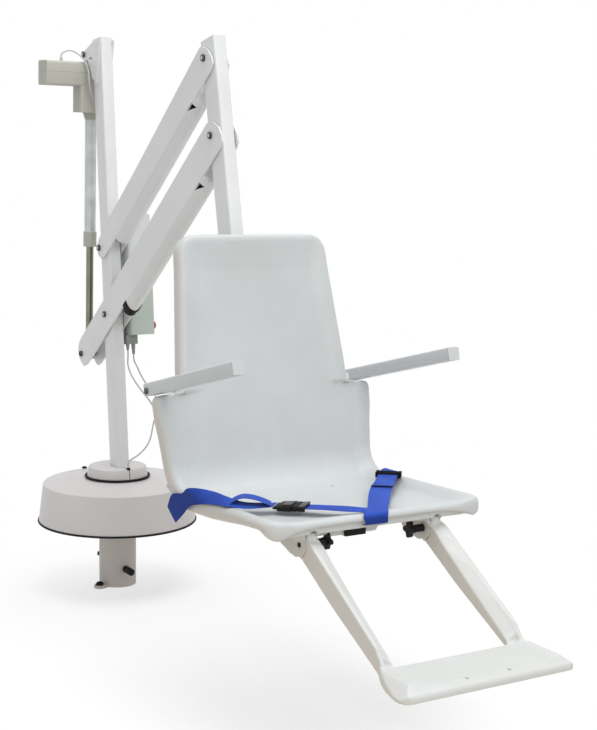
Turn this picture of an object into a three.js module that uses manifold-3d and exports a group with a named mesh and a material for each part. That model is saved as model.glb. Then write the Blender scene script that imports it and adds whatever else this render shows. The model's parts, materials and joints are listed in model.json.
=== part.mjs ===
import * as THREE from 'three';
import { mergeVertices } from 'three/addons/utils/BufferGeometryUtils.js';
import Module from 'manifold-3d';

// Lengths are in millimetres, +Z is up, the chair faces -Y, and the origin is the centre of the post's foot.
// The arms, mast and upright lie in the plane x = 0.

// Clearances
const TOUCH_GAP = 0.3;
const RUN_GAP = 0.6;

// Anchor post
const POST_RADIUS = 57;
const POST_WALL = 6;
const POST_FOOT = 8;
const POST_TOP = 225;
const EAR_CENTRE = new THREE.Vector2(-72, -26);
const EAR_RADIUS = 17;
const EAR_THICK = 9;
const EAR_CAP_RADIUS = 13;
const EAR_CAP_HEIGHT = 11;
const DOME_STEPS = 6;
const POST_BOLT_Z = 92;
const POST_BOLT_TURN = THREE.MathUtils.degToRad(32.8);
const POST_BOLT_RADIUS = 6.5;
const POST_BOLT_HEAD = 6;
const CLAMP_Z = 58;
const CLAMP_RADIUS = 11;
const CLAMP_REACH = 50;
const CLAMP_STEM_RADIUS = 6;
const CLAMP_STEM = 9;

// Swivel inside the drum
const SPINDLE_RADIUS = 25;
const SPINDLE_TOP = 332;
const GEAR_TEETH = 48;
const PINION_TEETH = 12;
const TOOTH_MODULE = 3.5;
const GEAR_THICK = 14;
const TOOTH_OUT_SHARE = 0.8;
const TOOTH_IN_SHARE = 1.15;
const TOOTH_ROOT_SHARE = 0.56;
const TOOTH_TIP_SHARE = 0.26;
const BEARING_WALL = 9;
const BEARING_HEIGHT = 52;
const BEARING_Z = 272;
const HUB_WALL = 12;
const HUB_BASE_Z = 258;
const HUB_TOP_Z = 345;
const HUB_ROOF = 9;
const TABLE_RADIUS = 132;
const TABLE_Z = 312;
const TABLE_THICK = 10;
const SLEW_MOTOR_RADIUS = 30;
const SLEW_MOTOR_Z = 246;
const SLEW_SHAFT_RADIUS = 7;

// Drum cover and collar
const RIM_RADIUS = 241.5;
const RIM_Z = 209.5;
const SHOULDER_RADIUS = 228.5;
const SHOULDER_Z = 324;
const SHOULDER_ROUND = 7;
const CROWN_RADIUS = 84;
const CROWN_Z = 340;
const DRUM_WALL = 4;
const TRIM_HEIGHT = 5.5;
const TRIM_OUT = 2;
const TRIM_IN = 6;
const COLLAR_RADIUS = 94;
const COLLAR_TOP_RADIUS = 90;
const COLLAR_TOP_Z = 375;
const COLLAR_ROUND = 9;
const COLLAR_WALL = 3;
const SLIT_WIDTH = 2.4;
const RING_THICK = 3.1;
const RING_RADIUS = COLLAR_RADIUS + RING_THICK;
const RING_GAP = 5;
const GROMMET_RADIUS = 6.5;
const GROMMET_BORE = 2.9;
const GROMMET_HEIGHT = 5;
const GROMMET_Y = -81;
const DRUM_GROMMET = new THREE.Vector2(135, -150);
const DRUM_PLUG = new THREE.Vector2(-20, 214);
const DRUM_PLUG_RADIUS = 8;
const DRUM_PLUG_HEIGHT = 5;

// Mast
const TUBE_WALL = 3;
const TUBE_ROUND = 5;
const MAST_WIDTH = 38;
const MAST_DEPTH = 65;
const MAST_RAKE = THREE.MathUtils.degToRad(5.47);
const MAST_FOOT_Y = -51.9;
const MAST_ABOVE = 34.62;
const CAP_THICK = 3;
const GUSSET_THICK = 5;
const GUSSET_PIVOT = new THREE.Vector2(191.5, 1630.6);
const GUSSET_OUTLINE = [[70, 1668], [126, 1664], [188, 1641], [203, 1632], [200, 1619], [186, 1612.5],
  [163, 1611.5], [156, 1598], [140, 1580], [128, 1556], [100, 1540]];
const GUSSET_HOLE = [[131, 1622], [131, 1610], [156, 1616]];

// Parallel arms: UM is the upper arm's mast pivot and LM the lower arm's, as (y, z)
const UM = new THREE.Vector2(74.63, 1041.9);
const LM = new THREE.Vector2(33.92, 840.91);
const ARM_LENGTH = 868;
const ARM_RISE = THREE.MathUtils.degToRad(37.81);
const ARM_HALF = 26;
const PLATE_THICK = 5;
const LUG_REACH = 233.3;
const UPPER_ROOT = [[12, -43], [-9, -33], [-20, -14], [-14, 12], [16, 24]];
const UPPER_TIP = [[-428, 30], [-2, 37], [16, 25], [30, -1], [34, -27], [28, -42], [14, -49], [-6, -50]];
const LOWER_TAIL = [[65.3, -51], [13.3, -48], [-10.7, -40], [-23.7, -2], [-16.7, 24], [3.3, 38], [26.3, 42]];
const LOWER_TIP = [[-568, 38], [4, 38], [30, 22], [47, -9], [48, -35], [40, -50], [24, -57], [-12, -57]];
const LOWER_ROOT = [[-10, -53]];
const UPPER_TROUGH = { start: 118, back: 100, bottom: -67, top: 29 };
const LOWER_TROUGH = { start: 132, back: 100, bottom: -78, top: 36 };
const WEB_THICK = 4;
const TROUGH_STEPS = 10;
const NOTCH_BACK = 162;
const NOTCH_LONG = 38;
const NOTCH_HIGH = 21;
const NOTCH_LOW = 4;
const NOTCH_IN = 13;
const BUMPER_THICK = 19;
const BUMPER_TOP = -20;
const BUMPER_OUT = 1.5;
const BUMPER_WALL = 13;

// Pivot bolts
const BOLT_RADIUS = 7;
const BOLT_CLEAR = 0.5;
const BOLT_HEAD_RADIUS = 9.5;
const BOLT_HEAD = 6;
const BOLT_EDGE = 1;
const BOLT_SOCKET_RADIUS = 5;
const BOLT_SOCKET = 3;

// Upright and seat frame
const UPRIGHT_WIDTH = 38;
const UPRIGHT_DEPTH = 74;
const UPRIGHT_LEAN = THREE.MathUtils.degToRad(11.93);
const UPRIGHT_SHIFT = -12.35;
const UPRIGHT_ABOVE = 50.8;
const UPRIGHT_BELOW = 930;
const FRAME_WIDTH = 56;
const FRAME_DEPTH = 25;
const FRAME_DROP = 9;
const FRAME_TOP_Z = 1010;
const FRAME_FRONT_Y = -1326;
const FRAME_PAD = 70;
const UPPER_PAD_SHARE = 0.68;
const FRAME_CAP = 8;

// Actuator: heights are along its own axis, below the gusset pivot
const HOUSING_LEFT = -156;
const HOUSING_RIGHT = 38;
const HOUSING_FRONT = -28;
const HOUSING_REAR = 42;
const HOUSING_TOP = -23;
const HOUSING_SEAM = -56;
const HOUSING_BASE = -97;
const HOUSING_ROUND = 7;
const HOUSING_WALL = 4;
const HOUSING_BAY_END = -34;
const GEARBOX_LEFT = -45;
const GEARBOX_INSET = 2;
const GEARBOX_BASE = -176;
const NECK_BASE = -197;
const NECK_TOP_RADIUS = 27;
const NECK_BASE_RADIUS = 20;
const NECK_RIBS = 3;
const OUTER_TUBE_RADIUS = 17.5;
const OUTER_TUBE_BORE = 14.7;
const END_RING_TOP = -545;
const END_RING_BASE = -592;
const END_RING_RADIUS = 20.5;
const END_RING_FLOOR = 8;
const ROD_RADIUS = 11.5;
const ROD_BORE = 8.6;
const ROD_NUT_RADIUS = 14;
const ROD_NUT = 28;
const ROD_START_GAP = 3;
const SCREW_RADIUS = 7;
const SCREW_REACH = 412;
const EYE_HALF = 11;
const EYE_RADIUS = 19;
const EYE_PIN_RADIUS = 7;
const EYE_PIN_HALF = 19;
const TANG_HALF = 18;
const TANG_RADIUS = 14;
const MOTOR_RADIUS = 24;
const LEAD_GLAND = new THREE.Vector2(-97, 4);
const LEAD_GLAND_RADIUS = 5;
const LEAD_GLAND_HEIGHT = 12;

// Control box beside the mast, in the mast's own frame: x, depth from its middle line, height along it
const BOX_LEFT = 37;
const BOX_RIGHT = 117;
const BOX_FRONT = -48;
const BOX_REAR = 92;
const BOX_BASE = 779;
const BOX_SEAM = 925;
const BATTERY_TOP = 1156;
const BOX_ROUND = 8;
const BATTERY_INSET = 1.2;
const RAIL_THICK = 5;
const RAIL_FRONT = -26;
const RAIL_REAR = 28;
const RAIL_SPANS = [[920, 950], [1116, 1146]];
const BUTTON_DEPTH = -22;
const BUTTON_RISE = 27;
const BUTTON_RADIUS = 12;
const BUTTON_PROUD = 11;
const BUTTON_EDGE = 2;
const BUTTON_STEM_RADIUS = 6;
const BUTTON_STEM = 16;
const BUTTON_TRAVEL = 4;
const BLOCK_LEFT = 28;
const BLOCK_RIGHT = 66;
const BLOCK_FRONT = -30;
const BLOCK_REAR = 12;
const BLOCK_BASE = 751;
const BLOCK_ROUND = 4;
const FIRST_RELIEF = { x: 34, depth: -21, radius: 6, length: 18 };
const SECOND_RELIEF = { x: 53, depth: -21, radius: 6.5, length: 32 };
const RELIEF_TIP_SHARE = 0.6;

// The chair's places are as pictured, with the lower arm's upright pivot here; it moves with that pivot
const CHAIR_PIVOT = new THREE.Vector2(-651.84, 1373.03);

// Chair shell: path length s runs down the back, round the bend and forward along the seat
const BACK_TOP = new THREE.Vector2(-840.4, 1127.3);
const BACK_LEAN = THREE.MathUtils.degToRad(12.4);
const SEAT_RISE = THREE.MathUtils.degToRad(1.85);
const SEAT_FRONT = new THREE.Vector2(-1437, 538);
const BEND_RADIUS = 72;
const SHELL_THICK = 45;
const EDGE_ROUND = 15;
const TOP_CORNER = 52;
const FRONT_CORNER = 34;
const WIDTH_STATIONS = [[0, 216], [67, 216], [331, 240], [388, 243], [392, 290], [396, 305], [406, 310], [453, 308],
  [501, 301], [544, 297], [585, 293], [647, 290], [767, 289], [1207, 293]];
const THICK_STATIONS = [[0, 46], [10, 45.5], [36, 33], [58, 26.5], [134, 30], [263, 42.5], [340, 45]];
const BACK_DISH = 8;
const SEAT_DISH = 20;
const DISH_RIM = 16;
const DISH_SLOPE = 46;
const DISH_END = 90;
const LIP_DISH_SHARE = 0.7;
const TOP_STEP_SHARES = [0, 0.06, 0.15, 0.3, 0.5, 0.73, 1];
const SEAT_STEP_SHARES = [0.12, 0.3];
const LIP_STEP_SHARES = [2.2, 1.5, 1.05, 0.83, 0.64, 0.52, 0.4, 0.31, 0.22, 0.11, 0.055, 0.022, 0];
const RIM_SHARES = [0.4, 0.7, 0.79, 0.86, 0.93, 0.97];
const BEND_STEPS = 10;
const ROUND_STEPS = 4;
const UNDER_STEPS = 3;
const POD_IN = 122;
const POD_OUT = 192;
const POD_OUTLINE = [[-1262, 512], [-1300, 484], [-1396, 484], [-1428, 505], [-1428, 514]];
const FORK_WALL = 7.5;
const FORK_NOSE = 27.5;
const FORK_OUTLINE = [[-1270, 504], [-1306, 453], [-1328, 447], [-1352, 438], [-1374, 437], [-1388, 441],
  [-1415.5, 468], [-1406, 482], [-1406, 508], [-1290, 508]];
const ARCH_HALF = 264;
const ARCH_RISE = 23;
const ARCH_DEPTH = 16;
const ARCH_POWER = 7;
const ARCH_STEPS = 16;
const CHANNEL_HALF = 66;
const CHANNEL_OUTLINE = [[-1020, 500], [-1060, 456], [-1322, 456], [-1332, 470], [-1332, 515]];
const DRAIN_MARK = new THREE.Vector3(-20, -1085, 8);

// Armrests
const REST_X = 293;
const REST_SIZE = 32;
const REST_WALL = 3;
const REST_ROUND = 4;
const REST_TILT = THREE.MathUtils.degToRad(13.8);
const REST_PIVOT = new THREE.Vector2(-866, 747);
const REST_BELOW = 12;
const REST_BEHIND = 16;
const REST_AHEAD = 446;
const REST_PLUG = 3;
const REST_PLUG_NECK = 9;
const REST_BOLT_RADIUS = 5.5;
const REST_BOLT_HEAD_RADIUS = 8.5;
const REST_BOLT_HEAD = 4.5;
const REST_BOLT_REACH = 22;
const CROSS_BAR = 20;

// Footrest
const LEG_IN = 150;
const LEG_WIDTH = 36;
const KNEE = new THREE.Vector2(-1388, 468);
const KNEE_RADIUS = 35;
const LEG_TOP_LINE = [[-1400, 490], [-1430, 473], [-1474, 438], [-1706, 285]];
const LEG_RIB = 11;
const RIB_TOP_LINE = [[-1400, 490], [-1434, 479], [-1691, 323], [-1712, 297]];
const LEG_BASE_LINE = [[-1748, 256], [-1700, 272], [-1520, 366], [-1399, 437]];
const BOARD_HALF = 222;
const BOARD_REAR_Y = -1704;
const BOARD_FRONT_Y = -1850;
const BOARD_TOP_Z = 281;
const BOARD_BASE_Z = 257;
const BOARD_ROUND = 24;
const BOARD_EDGE_SHARES = [[0.83, 0], [0.885, 0.165], [0.946, 0.418], [0.995, 0.712]];
const BOARD_CORNER_STEPS = 4;
const BOARD_BEVEL = 7;
const CHEEK_IN = 194;
const CHEEK_FRONT_Y = -1836;
const CHEEK_HEIGHT = 7;
const DRAIN_X = 55;
const DRAIN_Y = -1826;
const DRAIN_RADIUS = 5;
const KNOB_X = 107;
const KNOB_RADIUS = 19;
const KNOB_THICK = 12;
const KNOB_LOBES = 4;
const KNOB_WAIST_SHARE = 0.62;
const LOBE_STEPS = 10;
const KNOB_HUB_RADIUS = 9;
const KNOB_STUD_RADIUS = 5;
const KNOB_STUD_END = 188;

// Belt: flat webbing, with its buckle and slider
const WEB_WIDTH = 48;
const WEB_THICKNESS = 4;
const WEB_CLEAR = 1.5;
const SEAT_HALF = 291;
const STRAP_LOW_Z = 462;
const LEFT_FRONT_EDGE = [[-301, -990, 442], [-293.8, -1066, 497], [-297, -1160, 517], [-288, -1234, 539]];
const LEFT_REAR_EDGE = [[-302, -962, 481], [-293.8, -1039, 537], [-272, -1129, 554], [-263, -1192, 551]];
const BUCKLE_FROM = new THREE.Vector3(-175, -1262, 531);
const BUCKLE_TO = new THREE.Vector3(-121, -1318, 532);
const LAP_END = new THREE.Vector3(-62, -1385, 543);
const RIGHT_RAIL_Y = -1064;
const RIGHT_FROM = new THREE.Vector3(262, -1092, 535);
const RIGHT_TO = new THREE.Vector3(-10, -1424, 543);
const BUCKLE_WIDTH = 60;
const BUCKLE_THICK = 15;
const BUCKLE_SOCKET = 46;
const BUCKLE_WALL = 3;
const BUCKLE_ROUND = 5;
const BUCKLE_REACH = 30;
const SLIDER_AT = 40;
const SLIDER_LONG = 26;
const SLIDER_BAR = 4;

// Cables
const CABLE_RADIUS = 3.5;
const CABLE_STRAIGHT = 18;
const MOTOR_LEAD = [[29, -14, 690], [31, -24, 668], [40, -40, 640], [57, -60, 608], [77, -78, 575], [88, -90, 542],
  [78, -92, 512], [70, -98, 486], [62, -100, 463], [48, -98, 440], [25, -92, 418]];
const MOTOR_LEAD_STEPS = 34;
const SENSOR_LEAD = [[60, -14, 680], [74, -22, 646], [96, -40, 606], [124, -74, 556], [143, -108, 506],
  [150, -135, 456], [147, -148, 406], [141, -151, 370]];
const SENSOR_LEAD_STEPS = 28;
const ACTUATOR_LEAD = [[-89, 194, 1634], [-76, 190, 1640], [-60, 180, 1636], [-46, 168, 1624], [-36, 155, 1606],
  [-31, 142, 1580], [-31, 134, 1545], [-25, 138, 1515], [-12, 142, 1490]];
const LEAD_INTO = 1480;
const LEAD_HOLE_RADIUS = 5;
const ACTUATOR_LEAD_STEPS = 20;

// Facets
const FINE = 56;
const MEDIUM = 28;
const COARSE = 16;
const RING_SIDES = 6;
const CORD_SIDES = 8;
const TAU = 2 * Math.PI;

const wasm = await Module();
wasm.setup();

// Shared builders
function solid(geometry) {
  const plain = geometry.index ? geometry.toNonIndexed() : geometry.clone();
  plain.deleteAttribute('normal');
  plain.deleteAttribute('uv');
  const merged = mergeVertices(plain, 1e-4);
  const kept = [];
  const index = merged.index.array;
  for (let i = 0; i < index.length; i += 3) {
    const [a, b, c] = [index[i], index[i + 1], index[i + 2]];
    if (a !== b && b !== c && c !== a) kept.push(a, b, c);
  }
  return new wasm.Manifold(new wasm.Mesh({
    numProp: 3,
    vertProperties: new Float32Array(merged.attributes.position.array),
    triVerts: new Uint32Array(kept),
  }));
}

function geometryOf(manifold) {
  const data = manifold.getMesh();
  const count = data.vertProperties.length / data.numProp;
  const positions = new Float32Array(3 * count);
  for (let i = 0; i < count; i += 1) {
    for (let k = 0; k < 3; k += 1) positions[3 * i + k] = data.vertProperties[data.numProp * i + k];
  }
  const geometry = new THREE.BufferGeometry();
  geometry.setAttribute('position', new THREE.BufferAttribute(positions, 3));
  geometry.setIndex(new THREE.BufferAttribute(new Uint32Array(data.triVerts), 1));
  const flat = geometry.toNonIndexed();
  flat.computeVertexNormals();
  return flat;
}

function placed(manifold, matrix) {
  return manifold.transform(Array.from(matrix.elements));
}

function shapeOf(points, holes = []) {
  const shape = new THREE.Shape(points.map((p) => new THREE.Vector2(p[0], p[1])));
  for (const hole of holes) shape.holes.push(new THREE.Path(hole.map((p) => new THREE.Vector2(p[0], p[1]))));
  return shape;
}

// A plate from an outline in the plane (x, y), between two heights
function plateZ(points, low, high, holes = []) {
  const options = { depth: high - low, bevelEnabled: false, curveSegments: 1 };
  const geometry = new THREE.ExtrudeGeometry(shapeOf(points, holes), options);
  return solid(geometry).translate([0, 0, low]);
}

// A plate from an outline in the plane (y, z), between two values of x
function plateX(points, low, high, holes = []) {
  const turn = new THREE.Matrix4().makeBasis(
    new THREE.Vector3(0, 1, 0), new THREE.Vector3(0, 0, 1), new THREE.Vector3(1, 0, 0));
  const options = { depth: high - low, bevelEnabled: false, curveSegments: 1 };
  const geometry = new THREE.ExtrudeGeometry(shapeOf(points, holes), options);
  return placed(solid(geometry), turn).translate([low, 0, 0]);
}

function block(low, high) {
  const size = [0, 1, 2].map((k) => high[k] - low[k]);
  return solid(new THREE.BoxGeometry(...size)).translate([0, 1, 2].map((k) => low[k] + size[k] / 2));
}

// A body turned about Z from a closed profile of (radius, height)
function turned(profile, segments = MEDIUM) {
  const points = profile.map((p) => new THREE.Vector2(p[0], p[1]));
  points.push(points[0].clone());
  const upright = new THREE.Matrix4().makeRotationX(Math.PI / 2);
  let body = solid(new THREE.LatheGeometry(points, segments));
  body = placed(body, upright);
  return body.volume() < 0 ? solid(flipped(geometryOf(body))) : body;
}

function flipped(geometry) {
  const index = geometry.clone();
  const position = index.attributes.position;
  for (let i = 0; i < position.count; i += 3) {
    const first = [position.getX(i), position.getY(i), position.getZ(i)];
    position.setXYZ(i, position.getX(i + 1), position.getY(i + 1), position.getZ(i + 1));
    position.setXYZ(i + 1, ...first);
  }
  return index;
}

// Puts a body made along Z from 0 onto the line from one point towards another
function aimed(body, from, towards) {
  const axis = towards.clone().sub(from).normalize();
  const turn = new THREE.Quaternion().setFromUnitVectors(new THREE.Vector3(0, 0, 1), axis);
  return placed(body, new THREE.Matrix4().compose(from, turn, new THREE.Vector3(1, 1, 1)));
}

function rod(radius, low, high, segments = MEDIUM) {
  return turned([[0, low], [radius, low], [radius, high], [0, high]], segments);
}

// A rod along X through a point given as (y, z)
function rodX(radius, low, high, centre, segments = COARSE) {
  const from = new THREE.Vector3(low, centre.x, centre.y);
  const towards = new THREE.Vector3(high, centre.x, centre.y);
  return aimed(rod(radius, 0, high - low, segments), from, towards);
}

function roundedOutline(width, height, radius, steps = 3) {
  const points = [];
  const corners = [[1, 1], [-1, 1], [-1, -1], [1, -1]];
  corners.forEach(([sx, sy], k) => {
    for (let i = 0; i <= steps; i += 1) {
      const a = (k + i / steps) * TAU / 4;
      const x = sx * (width / 2 - radius) + radius * Math.cos(a);
      points.push([x, sy * (height / 2 - radius) + radius * Math.sin(a)]);
    }
  });
  return points;
}

function roundedBox(low, high, radius, steps = 3) {
  const centre = [0, 1, 2].map((k) => (low[k] + high[k]) / 2);
  const outline = roundedOutline(high[0] - low[0], high[1] - low[1], radius, steps);
  return plateZ(outline.map((p) => [p[0] + centre[0], p[1] + centre[1]]), low[2], high[2]);
}

function ringOutline(centre, radius, segments = COARSE) {
  const points = [];
  for (let i = 0; i < segments; i += 1) {
    const a = TAU * i / segments;
    points.push([centre.x + radius * Math.cos(a), centre.y + radius * Math.sin(a)]);
  }
  return points;
}

const group = new THREE.Group();
group.name = 'pool_patient_lift';

function add(name, body, colour, roughness, metalness = 0) {
  const material = new THREE.MeshStandardMaterial({ color: colour, roughness, metalness });
  const mesh = new THREE.Mesh(geometryOf(body), material);
  mesh.name = name;
  group.add(mesh);
}

const WHITE = 0xe6e7e6;
const SHELL_WHITE = 0xdcdedc;
const BLACK = 0x141414;
const DARK_STEEL = 0x4a4b4d;
const STEEL = 0xa9abad;
const BEIGE = 0xb2b2ab;
const BOX_GREEN = 0xaab5af;
const WEB_BLUE = 0x2c50b8;
const LEAD_GREY = 0xa9aaab;

// Arm frame: d runs from the mast pivot to the upright pivot, n is square to it and upwards
const ALONG = new THREE.Vector2(-Math.cos(ARM_RISE), Math.sin(ARM_RISE));
const ACROSS = new THREE.Vector2(Math.sin(ARM_RISE), Math.cos(ARM_RISE));

function armPoint(pivot, d, n) {
  return pivot.clone().addScaledVector(ALONG, d).addScaledVector(ACROSS, n);
}

function armOutline(pivot, outline) {
  return outline.map(([d, n]) => armPoint(pivot, d, n)).map((p) => [p.x, p.y]);
}

function shifted(outline, by) {
  return outline.map(([d, n]) => [d + by, n]);
}

const UPPER_OUTLINE = [...UPPER_ROOT, ...shifted(UPPER_TIP, ARM_LENGTH)];
const LOWER_OUTLINE = [...shifted(LOWER_TAIL, -LUG_REACH), ...shifted(LOWER_TIP, ARM_LENGTH), ...LOWER_ROOT];
const UU = armPoint(UM, ARM_LENGTH, 0);
const LU = armPoint(LM, ARM_LENGTH, 0);
const LUG = armPoint(LM, -LUG_REACH, 0);
const CHAIR_SHIFT = LU.clone().sub(CHAIR_PIVOT);

function onChair(body) {
  return body.translate([0, CHAIR_SHIFT.x, CHAIR_SHIFT.y]);
}

// Post with its closed foot, foot ear, gear flange and spindle
function anchorPost() {
  const tube = turned([[0, 0], [POST_RADIUS, 0], [POST_RADIUS, POST_TOP], [SPINDLE_RADIUS, POST_TOP],
    [SPINDLE_RADIUS, SPINDLE_TOP], [0, SPINDLE_TOP], [0, POST_TOP - POST_WALL],
    [POST_RADIUS - POST_WALL, POST_TOP - POST_WALL], [POST_RADIUS - POST_WALL, POST_FOOT], [0, POST_FOOT]], MEDIUM);
  const side = new THREE.Vector2(-EAR_CENTRE.y, EAR_CENTRE.x).setLength(EAR_RADIUS);
  const inner = EAR_CENTRE.clone().setLength(POST_RADIUS - POST_WALL / 2);
  const web = [inner.clone().add(side), EAR_CENTRE.clone().add(side), EAR_CENTRE.clone().sub(side),
    inner.clone().sub(side)].map((p) => [p.x, p.y]);
  const ear = plateZ(web, 0, EAR_THICK).add(plateZ(ringOutline(EAR_CENTRE, EAR_RADIUS), 0, EAR_THICK));
  const hollow = rod(POST_RADIUS - POST_WALL, POST_FOOT, POST_TOP - POST_WALL, MEDIUM);
  return tube.add(ear.subtract(hollow)).subtract(clampHole()).subtract(postBolt(TOUCH_GAP));
}

function clampHole() {
  const from = new THREE.Vector3(0, -(POST_RADIUS - 2 * POST_WALL), CLAMP_Z);
  const towards = new THREE.Vector3(0, -POST_RADIUS - POST_WALL, CLAMP_Z);
  return aimed(rod(CLAMP_STEM_RADIUS + RUN_GAP, 0, 3 * POST_WALL, COARSE), from, towards);
}

function postBolt(grow) {
  const outward = new THREE.Vector3(-Math.cos(POST_BOLT_TURN), Math.sin(POST_BOLT_TURN), 0);
  const from = outward.clone().multiplyScalar(POST_RADIUS - POST_WALL / 2).setZ(POST_BOLT_Z);
  const towards = outward.clone().multiplyScalar(2 * POST_RADIUS).setZ(POST_BOLT_Z);
  const head = POST_WALL / 2 + POST_BOLT_HEAD;
  return aimed(rod(POST_BOLT_RADIUS + grow, -grow, head, COARSE), from, towards);
}

function earCap() {
  const profile = [[0, EAR_THICK + TOUCH_GAP], [EAR_CAP_RADIUS, EAR_THICK + TOUCH_GAP]];
  for (let i = 1; i < DOME_STEPS; i += 1) {
    const a = TAU / 4 * i / DOME_STEPS;
    profile.push([EAR_CAP_RADIUS * Math.cos(a), EAR_THICK + TOUCH_GAP + EAR_CAP_HEIGHT * Math.sin(a)]);
  }
  profile.push([0, EAR_THICK + TOUCH_GAP + EAR_CAP_HEIGHT]);
  return turned(profile, COARSE).translate([EAR_CENTRE.x, EAR_CENTRE.y, 0]);
}

function clampHandle() {
  const grip = POST_RADIUS + TOUCH_GAP;
  const round = CLAMP_RADIUS / 3;
  const end = grip + CLAMP_REACH;
  const inner = POST_RADIUS - CLAMP_STEM;
  const profile = [[0, inner], [CLAMP_STEM_RADIUS, inner], [CLAMP_STEM_RADIUS, grip], [CLAMP_RADIUS - round, grip],
    [CLAMP_RADIUS, grip + round], [CLAMP_RADIUS, end - round], [CLAMP_RADIUS - round, end], [0, end]];
  return aimed(turned(profile, COARSE), new THREE.Vector3(0, 0, CLAMP_Z), new THREE.Vector3(0, -POST_RADIUS, CLAMP_Z));
}

// Gear teeth: straight-sided, thin enough to run with play
function gearOutline(teeth, turn) {
  const pitch = TOOTH_MODULE * teeth / 2;
  const tip = pitch + TOOTH_MODULE * TOOTH_OUT_SHARE;
  const root = pitch - TOOTH_MODULE * TOOTH_IN_SHARE;
  const step = TAU / teeth;
  const points = [];
  for (let i = 0; i < teeth; i += 1) {
    const centre = turn + i * step;
    const rootHalf = TOOTH_ROOT_SHARE * step / 2;
    const tipHalf = TOOTH_TIP_SHARE * step / 2;
    const spots = [[root, -rootHalf], [tip, -tipHalf], [tip, tipHalf], [root, rootHalf]];
    for (const [r, a] of spots) points.push([r * Math.cos(centre + a), r * Math.sin(centre + a)]);
  }
  return points;
}

const GEAR_Z = POST_TOP + TOUCH_GAP;
const GEAR_CENTRES = TOOTH_MODULE * (GEAR_TEETH + PINION_TEETH) / 2;

function slewGear() {
  const bore = ringOutline(new THREE.Vector2(0, 0), SPINDLE_RADIUS + TOUCH_GAP, MEDIUM);
  return plateZ(gearOutline(GEAR_TEETH, 0), GEAR_Z, GEAR_Z + GEAR_THICK, [bore.reverse()]);
}

function slewPinion() {
  const outline = gearOutline(PINION_TEETH, Math.PI / PINION_TEETH);
  const wheel = plateZ(outline, GEAR_Z, GEAR_Z + GEAR_THICK);
  const shaft = rod(SLEW_SHAFT_RADIUS, GEAR_Z + GEAR_THICK / 2, SLEW_MOTOR_Z - TOUCH_GAP, COARSE);
  return wheel.add(shaft).translate([GEAR_CENTRES, 0, 0]);
}

function slewBearing() {
  const inner = SPINDLE_RADIUS + TOUCH_GAP;
  const outer = inner + BEARING_WALL;
  return turned([[inner, BEARING_Z], [outer, BEARING_Z], [outer, BEARING_Z + BEARING_HEIGHT],
    [inner, BEARING_Z + BEARING_HEIGHT]], MEDIUM);
}

function turntable() {
  const bore = SPINDLE_RADIUS + BEARING_WALL + TOUCH_GAP + RUN_GAP;
  const hub = bore + HUB_WALL;
  return turned([[bore, HUB_BASE_Z], [hub, HUB_BASE_Z], [hub, TABLE_Z], [TABLE_RADIUS, TABLE_Z],
    [TABLE_RADIUS, TABLE_Z + TABLE_THICK], [hub, TABLE_Z + TABLE_THICK], [hub, HUB_TOP_Z], [0, HUB_TOP_Z],
    [0, HUB_TOP_Z - HUB_ROOF], [bore, HUB_TOP_Z - HUB_ROOF]], MEDIUM);
}

function slewMotor() {
  return rod(SLEW_MOTOR_RADIUS, SLEW_MOTOR_Z, TABLE_Z - TOUCH_GAP, MEDIUM).translate([GEAR_CENTRES, 0, 0]);
}

// Drum: a thin spun cover, open below
function drumCover() {
  const wall = DRUM_WALL;
  const slope = (CROWN_Z - SHOULDER_Z) / (SHOULDER_RADIUS - CROWN_RADIUS);
  const lip = SHOULDER_RADIUS - SHOULDER_ROUND;
  const lipZ = SHOULDER_Z + SHOULDER_ROUND * slope;
  const profile = [[RIM_RADIUS, RIM_Z], [SHOULDER_RADIUS, SHOULDER_Z - SHOULDER_ROUND],
    [SHOULDER_RADIUS - SHOULDER_ROUND / 4, SHOULDER_Z - SHOULDER_ROUND / 4], [lip, lipZ],
    [CROWN_RADIUS, CROWN_Z], [CROWN_RADIUS, CROWN_Z - wall], [lip, lipZ - wall],
    [SHOULDER_RADIUS - wall, SHOULDER_Z - SHOULDER_ROUND - wall / 2], [RIM_RADIUS - wall, RIM_Z]];
  const hole = rod(GROMMET_RADIUS - COLLAR_WALL / 2 + TOUCH_GAP, -2 * DRUM_WALL, 2 * DRUM_WALL, COARSE);
  return turned(profile, FINE).subtract(aimed(hole, drumSpot(0), drumSpot(DRUM_WALL)));
}

function drumTrim() {
  const high = RIM_Z - TOUCH_GAP;
  const low = high - TRIM_HEIGHT;
  const bevel = TRIM_OUT;
  return turned([[RIM_RADIUS - TRIM_IN, low], [RIM_RADIUS, low], [RIM_RADIUS + TRIM_OUT, low + bevel],
    [RIM_RADIUS + TRIM_OUT, high], [RIM_RADIUS - TRIM_IN, high]], FINE);
}

function drumPlug() {
  const reach = DRUM_PLUG.length();
  const slope = (CROWN_Z - SHOULDER_Z) / (SHOULDER_RADIUS - CROWN_RADIUS);
  const base = SHOULDER_Z + (SHOULDER_RADIUS - reach + DRUM_PLUG_RADIUS) * slope + TOUCH_GAP;
  return rod(DRUM_PLUG_RADIUS, base, base + DRUM_PLUG_HEIGHT, COARSE).translate([DRUM_PLUG.x, DRUM_PLUG.y, 0]);
}

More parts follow.
